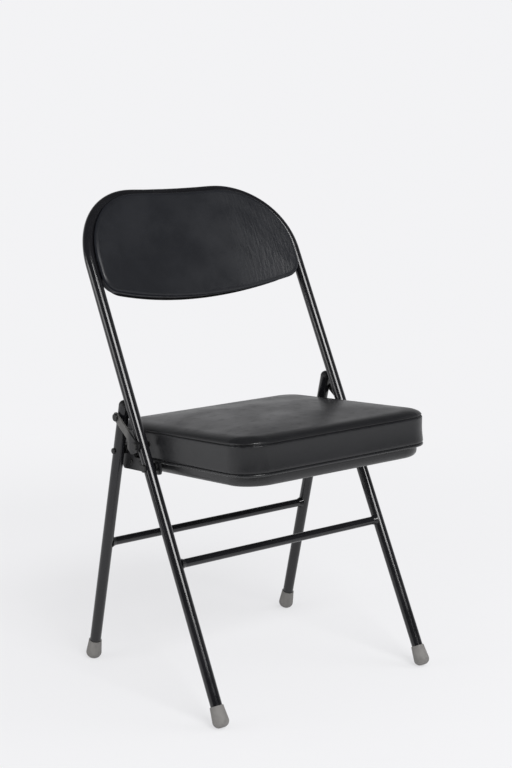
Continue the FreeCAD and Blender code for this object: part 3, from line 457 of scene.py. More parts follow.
def pebble_group():
    """Pressed grain: soft pebbles with fine creases between them."""
    group, source, result = new_group("Pebbled grain", {"Cells": 700.0}, ("Height", "Crease"))
    place = source.outputs["Vector"]
    scale = source.outputs["Cells"]
    warp_scale = math_node(group, "MULTIPLY", scale, GRAIN_WARP_SCALE)
    fine_scale = math_node(group, "MULTIPLY", scale, GRAIN_FINE_SCALE)
    warp = add_node(group, "ShaderNodeTexNoise", {"Vector": place, "Scale": warp_scale, "Detail": 2.0})
    fine = add_node(group, "ShaderNodeTexNoise", {"Vector": place, "Scale": fine_scale, "Detail": 4.0})
    shifts = {0: warp.outputs["Color"], 1: (GRAIN_SHIFT, GRAIN_SHIFT, GRAIN_SHIFT), 2: place}
    shift = add_node(group, "ShaderNodeVectorMath", shifts, operation="MULTIPLY_ADD")
    sources = {"Vector": shift.outputs[0], "Scale": scale, "Randomness": 0.95}
    cells = add_node(group, "ShaderNodeTexVoronoi", sources, feature="DISTANCE_TO_EDGE")
    pebble = range_node(group, cells.outputs["Distance"], 0.0, PEBBLE_FULL)
    fine_part = math_node(group, "MULTIPLY", fine.outputs[0], GRAIN_FINE_PART)
    feed(group, result.inputs["Height"], math_node(group, "ADD", pebble, fine_part))
    crease = range_node(group, cells.outputs["Distance"], 0.0, CREASE_END, to_low=1.0, to_high=0.0)
    feed(group, result.inputs["Crease"], crease)
    return group


def handling_group():
    """Broad cloudy variation, as hands and cleaning leave on a surface."""
    group, source, result = new_group("Handling", {"Scale": 9.0}, ("Tone", "Smudge"))
    place = source.outputs["Vector"]
    scale = source.outputs["Scale"]
    sources = {"Vector": place, "Scale": scale, "Detail": 5.0, "Roughness": 0.62}
    broad = add_node(group, "ShaderNodeTexNoise", sources)
    small_scale = math_node(group, "MULTIPLY", scale, SMUDGE_SCALE)
    small = add_node(group, "ShaderNodeTexNoise", {"Vector": place, "Scale": small_scale, "Detail": 3.0})
    feed(group, result.inputs["Tone"], range_node(group, broad.outputs[0], *TONE_NOISE))
    feed(group, result.inputs["Smudge"], range_node(group, small.outputs[0], *SMUDGE_NOISE))
    return group


def scuff_group():
    """Small rubbed marks that gather towards the floor."""
    values = {"Scale": 120.0, "Reach": 0.2, "Rest": 0.15}
    group, source, result = new_group("Scuffs", values, ("Mask",))
    place = source.outputs["Vector"]
    sources = {"Vector": place, "Scale": source.outputs["Scale"], "Detail": 3.0, "Distortion": 1.2}
    marks = add_node(group, "ShaderNodeTexNoise", sources)
    split = add_node(group, "ShaderNodeSeparateXYZ", {0: place})
    spots = range_node(group, marks.outputs[0], *SCUFF_NOISE)
    height = math_node(group, "DIVIDE", split.outputs["Z"], source.outputs["Reach"])
    low = range_node(group, height, 0.0, 1.0, to_low=1.0, to_high=0.0)
    gather = math_node(group, "MAXIMUM", low, source.outputs["Rest"])
    feed(group, result.inputs["Mask"], math_node(group, "MULTIPLY", spots, gather))
    return group


def shared_group(name, maker):
    """Gives a shared node group, made the first time it is asked for."""
    return bpy.data.node_groups.get(name) or maker()


# Counts of the mix node's sockets for colours
MIX_COLOURS = (6, 7)
MIX_RESULT = 2


class Finish:
    """A material under construction, with the parts that every finish here has."""

    def __init__(self, name):
        self.material = bpy.data.materials.new(name)
        self.material.use_nodes = True
        self.tree = self.material.node_tree
        self.shader = self.tree.nodes["Principled BSDF"]
        self.place = add_node(self.tree, "ShaderNodeTexCoord").outputs["Object"]

    def set(self, **values):
        """Sets plain values on the shader's own sockets."""
        for name, value in values.items():
            self.shader.inputs[name.replace("_", " ").title().replace("Ior", "IOR")].default_value = value

    def group(self, name, maker, **values):
        """Places a shared node group on the object's own coordinates."""
        sources = {label.title(): value for label, value in values.items()}
        sources["Vector"] = self.place
        return add_node(self.tree, "ShaderNodeGroup", sources, node_tree=shared_group(name, maker)).outputs

    def mix(self, mask, first, second):
        """Mixes two colours by a mask. Either may be a colour or a socket."""
        sources = {"Factor": mask}
        for count, colour in zip(MIX_COLOURS, (first, second)):
            plain = not isinstance(colour, bpy.types.NodeSocket)
            sources[count] = (*colour, 1) if plain else colour
        return add_node(self.tree, "ShaderNodeMix", sources, data_type="RGBA").outputs[MIX_RESULT]

    def link(self, source, name):
        """Feeds one of the shader's sockets."""
        self.tree.links.new(source, self.shader.inputs[name])

    def bump(self, height, strength, depth):
        """Raises the surface by a height from 0 to 1."""
        sources = {"Strength": strength, "Distance": depth, "Height": height}
        self.link(add_node(self.tree, "ShaderNodeBump", sources).outputs[0], "Normal")

    def range(self, source, low, high, to_low=0.0, to_high=1.0):
        """Maps a value from one range to another."""
        return range_node(self.tree, source, low, high, to_low, to_high)

    def shade(self, mask, colour, dark, light):
        """Varies a colour by a mask between a darker and a lighter share of itself."""
        return self.mix(mask, scaled(colour, dark), scaled(colour, light))

    def worn(self, colour, cloud, dark, light, marked, **marks):
        """A cloudy colour with marks of a lighter or darker share. Gives both masks."""
        tone = self.group("Handling", handling_group, scale=cloud)["Tone"]
        scuffs = self.group("Scuffs", scuff_group, **marks)["Mask"]
        clean = self.shade(tone, colour, dark, light)
        self.link(self.mix(scuffs, clean, scaled(colour, marked)), "Base Color")
        return tone, scuffs

    def gloss(self, mask, smooth, rough, marks=None, added=0.0):
        """Varies the roughness by a mask. Marks add to it."""
        roughness = self.range(mask, 0.0, 1.0, smooth, rough)
        if marks is not None:
            extra = math_node(self.tree, "MULTIPLY", marks, added)
            roughness = math_node(self.tree, "ADD", roughness, extra)
        self.link(roughness, "Roughness")

    def noise(self, scale):
        """A plain noise value on the object's own coordinates."""
        sources = {"Vector": self.place, "Scale": scale, "Detail": 3.0}
        return add_node(self.tree, "ShaderNodeTexNoise", sources).outputs[0]

    def drawn_noise(self, scales, detail, distortion=0.0):
        """A noise value with a scale of its own along each axis."""
        stretch = add_node(self.tree, "ShaderNodeMapping", {"Vector": self.place, "Scale": scales})
        sources = {"Vector": stretch.outputs[0], "Scale": 1.0, "Detail": detail, "Distortion": distortion}
        return add_node(self.tree, "ShaderNodeTexNoise", sources).outputs[0]

    def along(self, axis):
        """The place along one axis."""
        return add_node(self.tree, "ShaderNodeSeparateXYZ", {0: self.place}).outputs[axis]


def scaled(colour, factor):
    """A colour made lighter or darker."""
    return tuple(min(1, part * factor) for part in colour)


# The finishes

# How dark the painted shade in the creases of the vinyl is, and what rubbing and smudges add to roughness
VINYL_CREASE_SHADE = 0.6
RUBBED_ROUGHNESS = 0.25
SMUDGE_ROUGHNESS = 0.05

# The fine wrinkles of the back: scales of their noise, where they start and are full, and their height over
# that of the grain
WRINKLE_SCALES = (190.0, 40.0, 40.0)
WRINKLE_START = 0.06
WRINKLE_FULL = 0.15
WRINKLE_SHARE = 160.0

# Scales of the plywood's grain, which runs from side to side
PLYWOOD_SCALES = (30.0, 400.0, 400.0)

# The back cover's matt sides: where behind its front they begin and are full, the lighter share of colour
# that paints light on them, and their gloss
MATT_START = 0.0015
MATT_FULL = 0.004
SIDES_PAINTED_LIGHT = 1.3
MATT_SPECULAR = 0.03

# How far behind its front pivot a link shows its black paint, and from where its painted sheen is full
LINK_BLACK_REACH = 0.013
LINK_SHEEN_FULL = 0.026


def paint_finish(name, colour, smooth, rough):
    """Baked black paint with a slight ripple, cloudy gloss and a few rubbed marks."""
    finish = Finish(name)
    tone, scuffs = finish.worn(
        colour, cloud=14.0, dark=0.85, light=1.2, marked=2.5, scale=260.0, reach=0.16, rest=0.02)
    finish.gloss(tone, smooth, rough, marks=scuffs, added=RUBBED_ROUGHNESS)
    finish.bump(finish.noise(scale=60.0), strength=0.02, depth=0.00003)
    return finish.material


def wrinkle_height(finish):
    """Fine upright wrinkles towards the right-hand end of a piece."""
    lines = finish.drawn_noise(WRINKLE_SCALES, detail=2.0, distortion=0.6)
    end = finish.range(finish.along("X"), WRINKLE_START, WRINKLE_FULL, to_high=WRINKLE_SHARE)
    return math_node(finish.tree, "MULTIPLY", lines, end)


def turned_under(finish, back):
    """1 on the sides of the back cover, behind its rounded front edge, and 0 on its front."""
    rearwards = Vector((0, math.cos(front_lean), -math.sin(front_lean)))
    sources = {0: finish.place, 1: rearwards}
    depth = add_node(finish.tree, "ShaderNodeVectorMath", sources, operation="DOT_PRODUCT")
    across = finish.along("X")
    square = math_node(finish.tree, "MULTIPLY", across, across)
    bow = math_node(finish.tree, "MULTIPLY", square, back.front_bow / back.tube_half_spacing ** 2)
    unbowed = math_node(finish.tree, "ADD", depth.outputs["Value"], bow)
    front = seat_pivot.dot(rearwards) + back.front_bow - back.front_face
    return finish.range(unbowed, front + MATT_START, front + MATT_FULL)


def vinyl_finish(name, colour, smooth, rough, specular, back=None):
    """Black upholstery vinyl with a pressed grain and a cloudy sheen.

    On the back, given by its settings, it is wrinkled at one end and matt on the turned-under sides, which
    get painted light as a lighter colour.
    """
    finish = Finish(name)
    handling = finish.group("Handling", handling_group, scale=11.0)
    grain = finish.group("Pebbled grain", pebble_group, cells=780.0)
    tone = finish.shade(handling["Tone"], colour, dark=0.88, light=1.16)
    # Painted shade: the creases between the pebbles of the grain are darker.
    base = finish.mix(grain["Crease"], tone, scaled(colour, VINYL_CREASE_SHADE))
    finish.gloss(handling["Tone"], smooth, rough, marks=handling["Smudge"], added=SMUDGE_ROUGHNESS)
    height = grain["Height"]
    if back is None:
        finish.set(specular_ior_level=specular)
    else:
        height = math_node(finish.tree, "ADD", height, wrinkle_height(finish))
        sides = turned_under(finish, back)
        # Painted light: the turned-under sides take a lighter share of the vinyl's colour, standing in for
        # light they get too little of.
        base = finish.mix(sides, base, scaled(colour, SIDES_PAINTED_LIGHT))
        finish.link(finish.range(sides, 0.0, 1.0, specular, MATT_SPECULAR), "Specular IOR Level")
    finish.link(base, "Base Color")
    finish.bump(height, strength=0.08, depth=0.0001)
    return finish.material


def cap_finish(colour):
    """Grey moulded foot caps, mottled and dirty towards the floor."""
    finish = Finish("grey moulded plastic")
    tone, _ = finish.worn(
        colour, cloud=60.0, dark=0.86, light=1.1, marked=0.5, scale=420.0, reach=0.03, rest=0.25)
    finish.gloss(tone, smooth=0.5, rough=0.66)
    finish.set(specular_ior_level=0.35)
    finish.bump(finish.noise(scale=1500.0), strength=0.2, depth=0.0002)
    return finish.material


def steel_finish(name, colour, smooth, rough, metallic):
    """Bare or plated steel with a fine mill grain and rubbed spots."""
    finish = Finish(name)
    tone, _ = finish.worn(
        colour, cloud=90.0, dark=0.8, light=1.2, marked=1.7, scale=700.0, reach=0.02, rest=0.5)
    finish.gloss(tone, smooth, rough)
    finish.set(metallic=metallic)
    finish.bump(finish.noise(scale=2200.0), strength=0.15, depth=0.0001)
    return finish.material


def link_finish(colour, paint):
    """Black-painted link steel, with a painted sheen of grey along the bar and black round its front eye."""
    finish = Finish("link steel with painted sheen")
    handling = finish.group("Handling", handling_group, scale=90.0)
    eye = link_pivot.y
    # Painted sheen: grey along the bar, giving way to the black paint round the front eye.
    link_sheen = finish.range(finish.along("Y"), eye + LINK_BLACK_REACH, eye + LINK_SHEEN_FULL)
    grey = finish.shade(handling["Tone"], colour, dark=0.8, light=1.2)
    finish.link(finish.mix(link_sheen, paint, grey), "Base Color")
    finish.gloss(handling["Tone"], smooth=0.36, rough=0.5)
    finish.set(metallic=0.3)
    finish.bump(finish.noise(scale=2200.0), strength=0.15, depth=0.0001)
    return finish.material


def plastic_finish(colour):
    """Black moulded plastic with a fine spark-eroded texture."""
    finish = Finish("black moulded plastic")
    handling = finish.group("Handling", handling_group, scale=20.0)
    grain = finish.group("Pebbled grain", pebble_group, cells=1500.0)
    finish.link(finish.shade(handling["Tone"], colour, dark=0.85, light=1.25), "Base Color")
    finish.gloss(handling["Tone"], smooth=0.4, rough=0.52)
    finish.bump(grain["Height"], strength=0.25, depth=0.0001)
    return finish.material


def plywood_finish(colour):
    """Bare plywood with drawn-out grain."""
    finish = Finish("plywood")
    grain = finish.drawn_noise(PLYWOOD_SCALES, detail=5.0)
    finish.link(finish.shade(grain, colour, dark=0.6, light=1.25), "Base Color")
    finish.link(finish.range(grain, *TONE_NOISE, to_low=0.55, to_high=0.75), "Roughness")
    finish.bump(grain, strength=0.3, depth=0.0002)
    return finish.material


def give_finish(nodes, material):
    """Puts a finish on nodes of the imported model."""
    for name in nodes:
        slots = frame["nodes"][name].data.materials
        slots.clear()
        slots.append(material)


# Operators, one for each piece or group of pieces

class CHAIR_OT_paint_frame(bpy.types.Operator):
    """Paints the tubes, crossbars and pressed steel"""

    bl_idname = "chair.paint_frame"
    bl_label = "Paint the frame"

    def execute(self, context):
        colours = context.scene.chair_finish
        gloss = paint_finish("gloss black paint", colours.paint, smooth=0.12, rough=0.2)
        give_finish(GLOSS_PAINT_NODES, gloss)
        satin = paint_finish("satin black paint", colours.satin_paint, smooth=0.3, rough=0.42)
        give_finish(SATIN_PAINT_NODES, satin)
        return {"FINISHED"}


class CHAIR_OT_finish_hardware(bpy.types.Operator):
    """Finishes the links, bolts, rivets, nuts and screws"""

    bl_idname = "chair.finish_hardware"
    bl_label = "Finish the hardware"

    def execute(self, context):
        colours = context.scene.chair_finish
        give_finish(LINK_NODES, link_finish(colours.link, colours.satin_paint))
        dark = steel_finish("blackened steel", colours.dark_steel, smooth=0.3, rough=0.45, metallic=0.7)
        give_finish(DARK_STEEL_NODES, dark)
        zinc = steel_finish("zinc plated steel", colours.zinc, smooth=0.3, rough=0.46, metallic=1.0)
        give_finish(ZINC_NODES, zinc)
        return {"FINISHED"}


class CHAIR_OT_finish_mouldings(bpy.types.Operator):
    """Finishes the foot caps, tube plugs, back shell and the boards under the covers"""

    bl_idname = "chair.finish_mouldings"
    bl_label = "Finish the mouldings"

    def execute(self, context):
        colours = context.scene.chair_finish
        give_finish(FOOT_CAP_NODES, cap_finish(colours.foot_cap))
        give_finish(PLASTIC_NODES, plastic_finish(colours.plastic))
        give_finish(PLYWOOD_NODES, plywood_finish(colours.plywood))
        return {"FINISHED"}


def seat_outline(size):
    """The seat cover seen from above."""
    return Outline(size.half_width, -size.front, size.rear, size.corner, size.corner)


def seat_place(size):
    """The tilted place of the seat."""
    return Matrix.Translation(seat_pivot) @ Matrix.Rotation(-size.tilt, 4, "X")


# The seat's crown: how far in its rolled edge and its rise reach, the roll's part and the rise's fullness
CROWN_ROLL = 0.024
CROWN_REACH = 0.11
CROWN_ROLL_PART = 0.68
CROWN_FULLNESS = 2.2

# Rings of the seat cover: height over its underside or seam, and inset, or share of the band's height
SEAT_LOWER_ROLL = ((0, 0.002), (0.0008, 0.0009), (0.0026, 0.0002))
SEAT_BAND_SHARES = (0.12, 0.24, 0.38, 0.52, 0.66, 0.79, 0.9)
SEAT_UPPER_ROLL = ((-0.0016, 0.0002), (-0.0006, 0.0008))
SEAT_TOP_EDGE = (0.0006, 0.0008)

# The stuffing of the seat: how far the edge is held, how far in it is free, and how sharp the seam stays
SEAT_HELD = 0.002
SEAT_FREE = 0.05
SEAM_CREASE = 0.75

# The small unevenness of the seat cover. A pull runs from its start to its end: distance to the rear, height
WAVE_HEIGHT = 0.0012
WAVE_SCALE = 9
WAVE_LEVEL = 3.7
WAVE_REACH = 0.08
PUCKERS = 26
PUCKER_DEPTH = 0.0007
PUCKER_REACH = 0.016
PUCKER_START = 2 / 3
PULL_START = Vector((0.006, 0.043))
PULL_END = Vector((-0.052, 0.018))
PULL_WIDTH = 0.0045
PULL_DEPTH = 0.0006
PULL_FADE = 1 / 3


def seat_crown(distance):
    """How far up its crown the seat's top panel stands at a distance inside its seam."""
    roll = math.sqrt(1 - (1 - min(distance, CROWN_ROLL) / CROWN_ROLL) ** 2)
    rise = 1 - (1 - min(distance, CROWN_REACH) / CROWN_REACH) ** CROWN_FULLNESS
    return CROWN_ROLL_PART * roll + (1 - CROWN_ROLL_PART) * rise


class CHAIR_OT_make_seat_cover(bpy.types.Operator):
    """Makes the stuffed seat cover: a band drawn in between two seams and a crowned top panel"""

    bl_idname = "chair.make_seat_cover"
    bl_label = "Make the seat cover"

    def execute(self, context):
        size = context.scene.chair_seat
        outline = seat_outline(size)
        cover = add_sheet("seat_cover", outline, size.spacing)
        band = size.seam - size.underside
        rings = [(size.underside + rise, inset) for rise, inset in SEAT_LOWER_ROLL]
        for share in SEAT_BAND_SHARES:
            draw = size.draw * math.sin(math.pi * share)
            rings.append((size.underside + band * share, draw))
        rings += [(size.seam + rise, inset) for rise, inset in SEAT_UPPER_ROLL]
        rings.append((size.seam, size.seam_depth))
        top_rise, top_inset = SEAT_TOP_EDGE
        top_edge = size.seam + top_rise
        rings.append((top_edge, top_inset))
        raise_rings(cover, outline, rings)
        stuff(cover, outline, size, top_edge, top_inset, seat_crown, SEAT_HELD, SEAT_FREE)
        crease_ring(cover, size.seam, SEAM_CREASE)
        self.work_in_creases(cover, outline, size)
        subdivide(cover)
        apply_place(cover, seat_place(size))
        colour = context.scene.chair_finish.seat_vinyl
        vinyl = vinyl_finish("seat vinyl", colour, smooth=0.3, rough=0.38, specular=0.4)
        cover.data.materials.append(vinyl)
        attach(cover, "seat")
        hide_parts("seat_cushion")
        return {"FINISHED"}

    @staticmethod
    def work_in_creases(cover, outline, size):
        """Adds waves on top, puckers at the corners and a pull on each side."""
        for vertex in cover.data.vertices:
            point = vertex.co
            across = abs(point.x) - outline.half_width + outline.low_corner
            along = abs(point.y - outline.middle) - outline.half_length + outline.low_corner
            if across > 0 and along > 0:
                near_seam = eased(1 - abs(point.z - size.seam) / PUCKER_REACH)
                outwards = math.hypot(across, along) / outline.low_corner
                near_edge = eased((outwards - PUCKER_START) / (1 - PUCKER_START))
                pucker = PUCKER_DEPTH * near_seam * near_edge * math.sin(PUCKERS * math.atan2(along, across))
                vertex.co.z += pucker
            if point.z > size.seam:
                distance = outline.edge_distance(point.x, point.y)
                wave = noise.noise(Vector((point.x * WAVE_SCALE, point.y * WAVE_SCALE, WAVE_LEVEL)))
                vertex.co.z += WAVE_HEIGHT * wave * eased(distance / WAVE_REACH)
            elif abs(point.x) > outline.half_width - outline.low_corner / 2:
                share = (point.y - PULL_START.x) / (PULL_END.x - PULL_START.x)
                line = PULL_START.y + share * (PULL_END.y - PULL_START.y)
                depth = math.exp(-(((point.z - line) / PULL_WIDTH) ** 2))
                fade = eased(share / PULL_FADE) * eased((1 - share) / PULL_FADE)
                vertex.co.x -= math.copysign(PULL_DEPTH * depth * fade, point.x)


# Steps round each corner of the piping, and the resolution of its round section
PIPING_CORNER_STEPS = 14
PIPING_RESOLUTION = 4


class CHAIR_OT_make_seat_piping(bpy.types.Operator):
    """Makes the piping that lies round the lower edge of the seat cover"""

    bl_idname = "chair.make_seat_piping"
    bl_label = "Make the seat piping"

    def execute(self, context):
        size = context.scene.chair_seat
        outline = seat_outline(size)
        deselect_all()
        bpy.ops.mesh.primitive_plane_add(size=2)
        piping = bpy.context.object
        piping.name = "seat_piping"
        piping.data.name = "seat_piping"
        for vertex in piping.data.vertices:
            vertex.co.x *= outline.half_width - size.piping_inset
            vertex.co.y = outline.middle + vertex.co.y * (outline.half_length - size.piping_inset)
            vertex.co.z = size.piping_height
        bpy.ops.object.mode_set(mode="EDIT")
        bpy.ops.mesh.select_all(action="SELECT")
        corner = size.corner - size.piping_inset
        bpy.ops.mesh.bevel(
            offset=corner, offset_type="OFFSET", segments=PIPING_CORNER_STEPS, affect="VERTICES")
        bpy.ops.mesh.delete(type="ONLY_FACE")
        bpy.ops.object.mode_set(mode="OBJECT")
        bpy.ops.object.convert(target="CURVE")
        piping.data.bevel_depth = size.piping_radius
        piping.data.bevel_resolution = PIPING_RESOLUTION
        bpy.ops.object.convert(target="MESH")
        apply_place(piping, seat_place(size))
        colour = context.scene.chair_finish.seat_vinyl
        vinyl = vinyl_finish("piping vinyl", colour, smooth=0.26, rough=0.34, specular=0.5)
        piping.data.materials.append(vinyl)
        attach(piping, "seat")
        return {"FINISHED"}


# The rear of the back cover: its recess, the board's inset and the roundings of its hem and lap
BACK_RECESS = 0.0024
BOARD_INSET = 0.003
HEM_STEP = 0.0001
HEM_INNER = 0.0003
HEM_OUTER = 0.0004
HEM_RISE = 0.0007
LAP_ROUND = 0.0008

# Rings of the back cover's rounded front edge: share of its thickness, and inset
BACK_FRONT_EDGE = ((0.09, 0.0002), (0.22, 0), (0.46, 0.0005), (0.69, 0.0016), (0.87, 0.0036), (1, 0.0064))
BACK_CROWN_REACH = 0.045
BACK_FREE = 0.04


def back_crown(distance):
    """How far up its crown the back's front stands at a distance inside its edge."""
    return 1 - (1 - min(distance / BACK_CROWN_REACH, 1)) ** 2


class CHAIR_OT_make_back_cover(bpy.types.Operator):
    """Makes the stuffed back cover, which fills the arch and laps over the front of its tube"""

    bl_idname = "chair.make_back_cover"
    bl_label = "Make the back cover"

    def execute(self, context):
        size = context.scene.chair_back
        outline = Outline(size.half_width, size.low_side, size.top, size.low_corner, size.top_corner)
        cover = add_sheet("back_cover", outline, size.spacing)
        thick = size.front_face - size.lap_rear
        filling = size.lap
        board = size.lap + BOARD_INSET
        rings = [
            (-BACK_RECESS, board),
            (-size.wrap, board - HEM_INNER),
            (-size.wrap - HEM_STEP, filling + HEM_OUTER),
            (-size.wrap + HEM_RISE, filling),
            (size.lap_rear, filling),
            (size.lap_rear + HEM_STEP, LAP_ROUND),
        ]
        rings += [(size.lap_rear + share * thick, inset) for share, inset in BACK_FRONT_EDGE]
        raise_rings(cover, outline, rings)
        edge = rings[-1][1]
        stuff(cover, outline, size, size.front_face, edge, back_crown, edge, BACK_FREE)
        for vertex in cover.data.vertices:
            across = min(abs(vertex.co.x) / outline.half_width, 1)
            along = (outline.high - vertex.co.y) / (outline.high - outline.low)
            depth = (size.lap_rear - vertex.co.z) / (size.lap_rear + size.wrap)
            bow = size.front_bow
            half_width = size.tube_half_spacing
            if depth > NEAR:
                bow = size.rear_bow
                half_width = size.board_half_width
            if depth > -NEAR:
                vertex.co.y -= size.lap_rise * (1 - along)
                vertex.co.y += size.low_tuck * along * depth
            vertex.co.z -= bow * (1 - (vertex.co.x / half_width) ** 2)
            vertex.co.y -= size.low_drop * (1 - across * across) * eased(along)
        subdivide(cover)
        front_place = Matrix.Translation(seat_pivot) @ Matrix.Rotation(-front_lean, 4, "X")
        apply_place(cover, front_place @ Matrix.Rotation(math.pi / 2, 4, "X"))
        colour = context.scene.chair_finish.back_vinyl
        vinyl = vinyl_finish("back vinyl", colour, smooth=0.34, rough=0.44, specular=0.4, back=size)
        cover.data.materials.append(vinyl)
        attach(cover, "front_frame")
        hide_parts("back_pad")
        return {"FINISHED"}


# The lights: place, point that each faces, width and height
CHAIR_MIDDLE = (0.0, 0.0, 0.45)
LIGHTS = {
    "key": ((-0.75, -4.74, 4.12), CHAIR_MIDDLE, 3.2, 1.8),
    "side": ((-2.3, 0.72, 0.95), (-0.2, 0.1, 0.6), 1.8, 0.6),
    "right": ((1.7, -1.0, 1.9), CHAIR_MIDDLE, 1.2, 1.2),
}

# The floor: its size, its gap under the feet, and where and from what share it fades into the background
FLOOR_RADIUS = 14
FLOOR_SIDES = 96
FLOOR_GAP = 0.0003
FLOOR_FADE = (0.3, 1.8)
FLOOR_FADE_NEAR = 0.66

# The backdrop that gloss reflects: its direction, how it fades to the sides and upwards, its strength there
# and all round
BACKDROP_DIRECTION = (0.61, 0.79, 0.0)
BACKDROP_SIDES = (-0.1, 0.7)
BACKDROP_HEIGHT = (0.25, 0.6)
BACKDROP_STRENGTH = 0.55
BACKDROP_REST = 0.08

SENSOR_WIDTH = 36
VIEW_REACH = 100


def seen_ray(tree):
    """1 for rays that show the background: seen, reflected or let through."""
    path = add_node(tree, "ShaderNodeLightPath")
    shown = math_node(tree, "MAXIMUM", path.outputs["Is Camera Ray"], path.outputs["Is Glossy Ray"])
    return math_node(tree, "MAXIMUM", shown, path.outputs["Is Transmission Ray"])


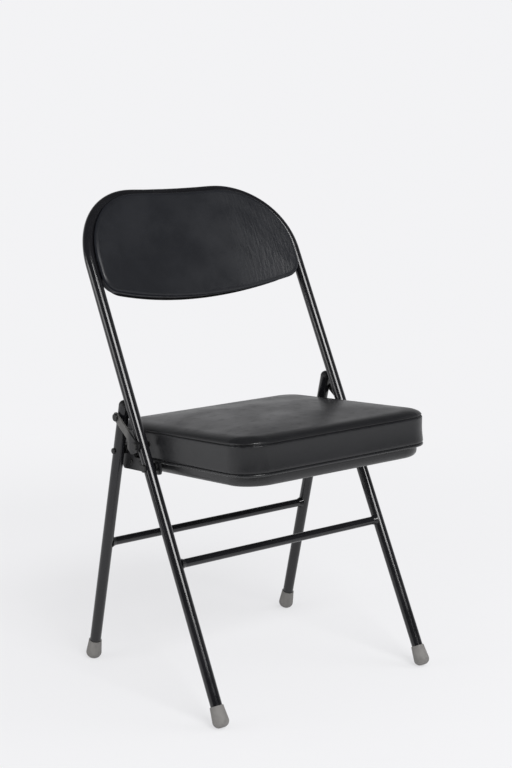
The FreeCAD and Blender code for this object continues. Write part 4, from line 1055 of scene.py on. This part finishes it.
class CHAIR_OT_set_stage(bpy.types.Operator):
    """Sets a plain pale floor, soft lights, the background and the camera"""

    bl_idname = "chair.set_stage"
    bl_label = "Set the stage"

    def execute(self, context):
        size = context.scene.chair_stage
        self.lay_floor(size)
        self.light_world(context.scene, size)
        self.add_light(context, "key", size.key_power)
        self.add_light(context, "side", size.side_power)
        right = self.add_light(context, "right", size.right_power)
        right.visible_glossy = False
        self.set_camera(context, size)
        context.scene.view_settings.view_transform = "Standard"
        return {"FINISHED"}

    @staticmethod
    def lay_floor(size):
        """A wide floor that fades into the background away from the chair."""
        deselect_all()
        bpy.ops.mesh.primitive_circle_add(
            vertices=FLOOR_SIDES, radius=FLOOR_RADIUS, fill_type="NGON", location=(0, 0, -FLOOR_GAP))
        floor = bpy.context.object
        floor.name = "floor"
        bpy.ops.object.transform_apply(location=True, rotation=True, scale=True)
        finish = Finish("pale floor")
        handling = finish.group("Handling", handling_group, scale=1.3)
        finish.link(finish.shade(handling["Tone"], size.floor, dark=0.985, light=1.01), "Base Color")
        finish.set(roughness=0.75, specular_ior_level=0.2)
        tree = finish.tree
        distance = add_node(tree, "ShaderNodeVectorMath", {0: finish.place}, operation="LENGTH")
        far = range_node(tree, distance.outputs["Value"], *FLOOR_FADE, to_low=FLOOR_FADE_NEAR)
        glow = add_node(tree, "ShaderNodeEmission", {"Color": (*size.backdrop, 1), "Strength": 1.0})
        glowing = math_node(tree, "MULTIPLY", far, seen_ray(tree))
        sources = {0: glowing, 1: finish.shader.outputs[0], 2: glow.outputs[0]}
        blend = add_node(tree, "ShaderNodeMixShader", sources)
        tree.links.new(blend.outputs[0], tree.nodes["Material Output"].inputs["Surface"])
        floor.data.materials.append(finish.material)

    @staticmethod
    def light_world(scene, size):
        """An even dome, pale to every camera, with a backdrop behind the chair that gloss reflects."""
        world = bpy.data.worlds.new("studio")
        scene.world = world
        world.use_nodes = True
        tree = world.node_tree
        background = tree.nodes["Background"]
        place = add_node(tree, "ShaderNodeTexCoord").outputs["Generated"]
        split = add_node(tree, "ShaderNodeSeparateXYZ", {0: place})
        sources = {0: place, 1: BACKDROP_DIRECTION}
        facing = add_node(tree, "ShaderNodeVectorMath", sources, operation="DOT_PRODUCT")
        behind = range_node(tree, facing.outputs["Value"], *BACKDROP_SIDES, to_high=BACKDROP_STRENGTH)
        low = range_node(tree, split.outputs["Z"], *BACKDROP_HEIGHT, to_low=1.0, to_high=0.0)
        backdrop = math_node(tree, "ADD", math_node(tree, "MULTIPLY", behind, low), BACKDROP_REST)
        path = add_node(tree, "ShaderNodeLightPath")
        through = path.outputs["Is Transmission Ray"]
        glossy = math_node(tree, "MAXIMUM", path.outputs["Is Glossy Ray"], through)
        change = math_node(tree, "SUBTRACT", backdrop, size.dome)
        strength = math_node(tree, "ADD", math_node(tree, "MULTIPLY", change, glossy), size.dome)
        seen = math_node(tree, "MAXIMUM", strength, path.outputs["Is Camera Ray"])
        background.inputs["Color"].default_value = (*size.backdrop, 1)
        tree.links.new(seen, background.inputs["Strength"])

    @staticmethod
    def add_light(context, name, power):
        """Adds one of the soft rectangular lights."""
        place, aim, width, height = LIGHTS[name]
        lamp = bpy.data.lights.new(name, "AREA")
        lamp.shape = "RECTANGLE"
        lamp.size = width
        lamp.size_y = height
        lamp.energy = power
        light = bpy.data.objects.new(name, lamp)
        context.scene.collection.objects.link(light)
        light.location = place
        light.rotation_euler = (Vector(aim) - Vector(place)).to_track_quat("-Z", "Y").to_euler()
        return light

    @staticmethod
    def set_camera(context, size):
        """Looks at the chair from the picture's place."""
        data = bpy.data.cameras.new("camera")
        data.sensor_width = SENSOR_WIDTH
        data.lens = size.focal_pixels / IMAGE_HEIGHT * data.sensor_width
        data.clip_end = VIEW_REACH
        camera = bpy.data.objects.new("camera", data)
        context.scene.collection.objects.link(camera)
        view = (Vector(size.aim) - Vector(size.eye)).to_track_quat("-Z", "Y").to_matrix().to_4x4()
        rolled = view @ Matrix.Rotation(size.roll, 4, "Z")
        camera.matrix_world = Matrix.Translation(Vector(size.eye)) @ rolled
        context.scene.camera = camera


class CHAIR_PT_panel(bpy.types.Panel):
    """Lists the steps that dress the chair"""

    bl_idname = "CHAIR_PT_panel"
    bl_label = "Folding chair"
    bl_space_type = "VIEW_3D"
    bl_region_type = "UI"
    bl_category = "Chair"

    def draw(self, context):
        for operator in OPERATORS:
            self.layout.operator(operator.bl_idname)


OPERATORS = (
    CHAIR_OT_paint_frame,
    CHAIR_OT_finish_hardware,
    CHAIR_OT_finish_mouldings,
    CHAIR_OT_make_seat_cover,
    CHAIR_OT_make_seat_piping,
    CHAIR_OT_make_back_cover,
    CHAIR_OT_set_stage,
)
SETTINGS = {
    "chair_seat": ChairSeatSettings,
    "chair_back": ChairBackSettings,
    "chair_finish": ChairFinishSettings,
    "chair_stage": ChairStageSettings,
}


def register():
    """Registers the settings, operators and panel."""
    for name, settings in SETTINGS.items():
        bpy.utils.register_class(settings)
        setattr(bpy.types.Scene, name, bpy.props.PointerProperty(type=settings))
    for operator in OPERATORS:
        bpy.utils.register_class(operator)
    bpy.utils.register_class(CHAIR_PT_panel)


def unregister():
    """Takes away what register added."""
    bpy.utils.unregister_class(CHAIR_PT_panel)
    for operator in reversed(OPERATORS):
        bpy.utils.unregister_class(operator)
    for name, settings in SETTINGS.items():
        delattr(bpy.types.Scene, name)
        bpy.utils.unregister_class(settings)


def main():
    """Dresses the chair step by step."""
    register()
    bpy.ops.chair.paint_frame()
    bpy.ops.chair.finish_hardware()
    bpy.ops.chair.finish_mouldings()
    bpy.ops.chair.make_seat_cover()
    bpy.ops.chair.make_seat_piping()
    bpy.ops.chair.make_back_cover()
    bpy.ops.chair.set_stage()


if __name__ == "__main__":
    main()
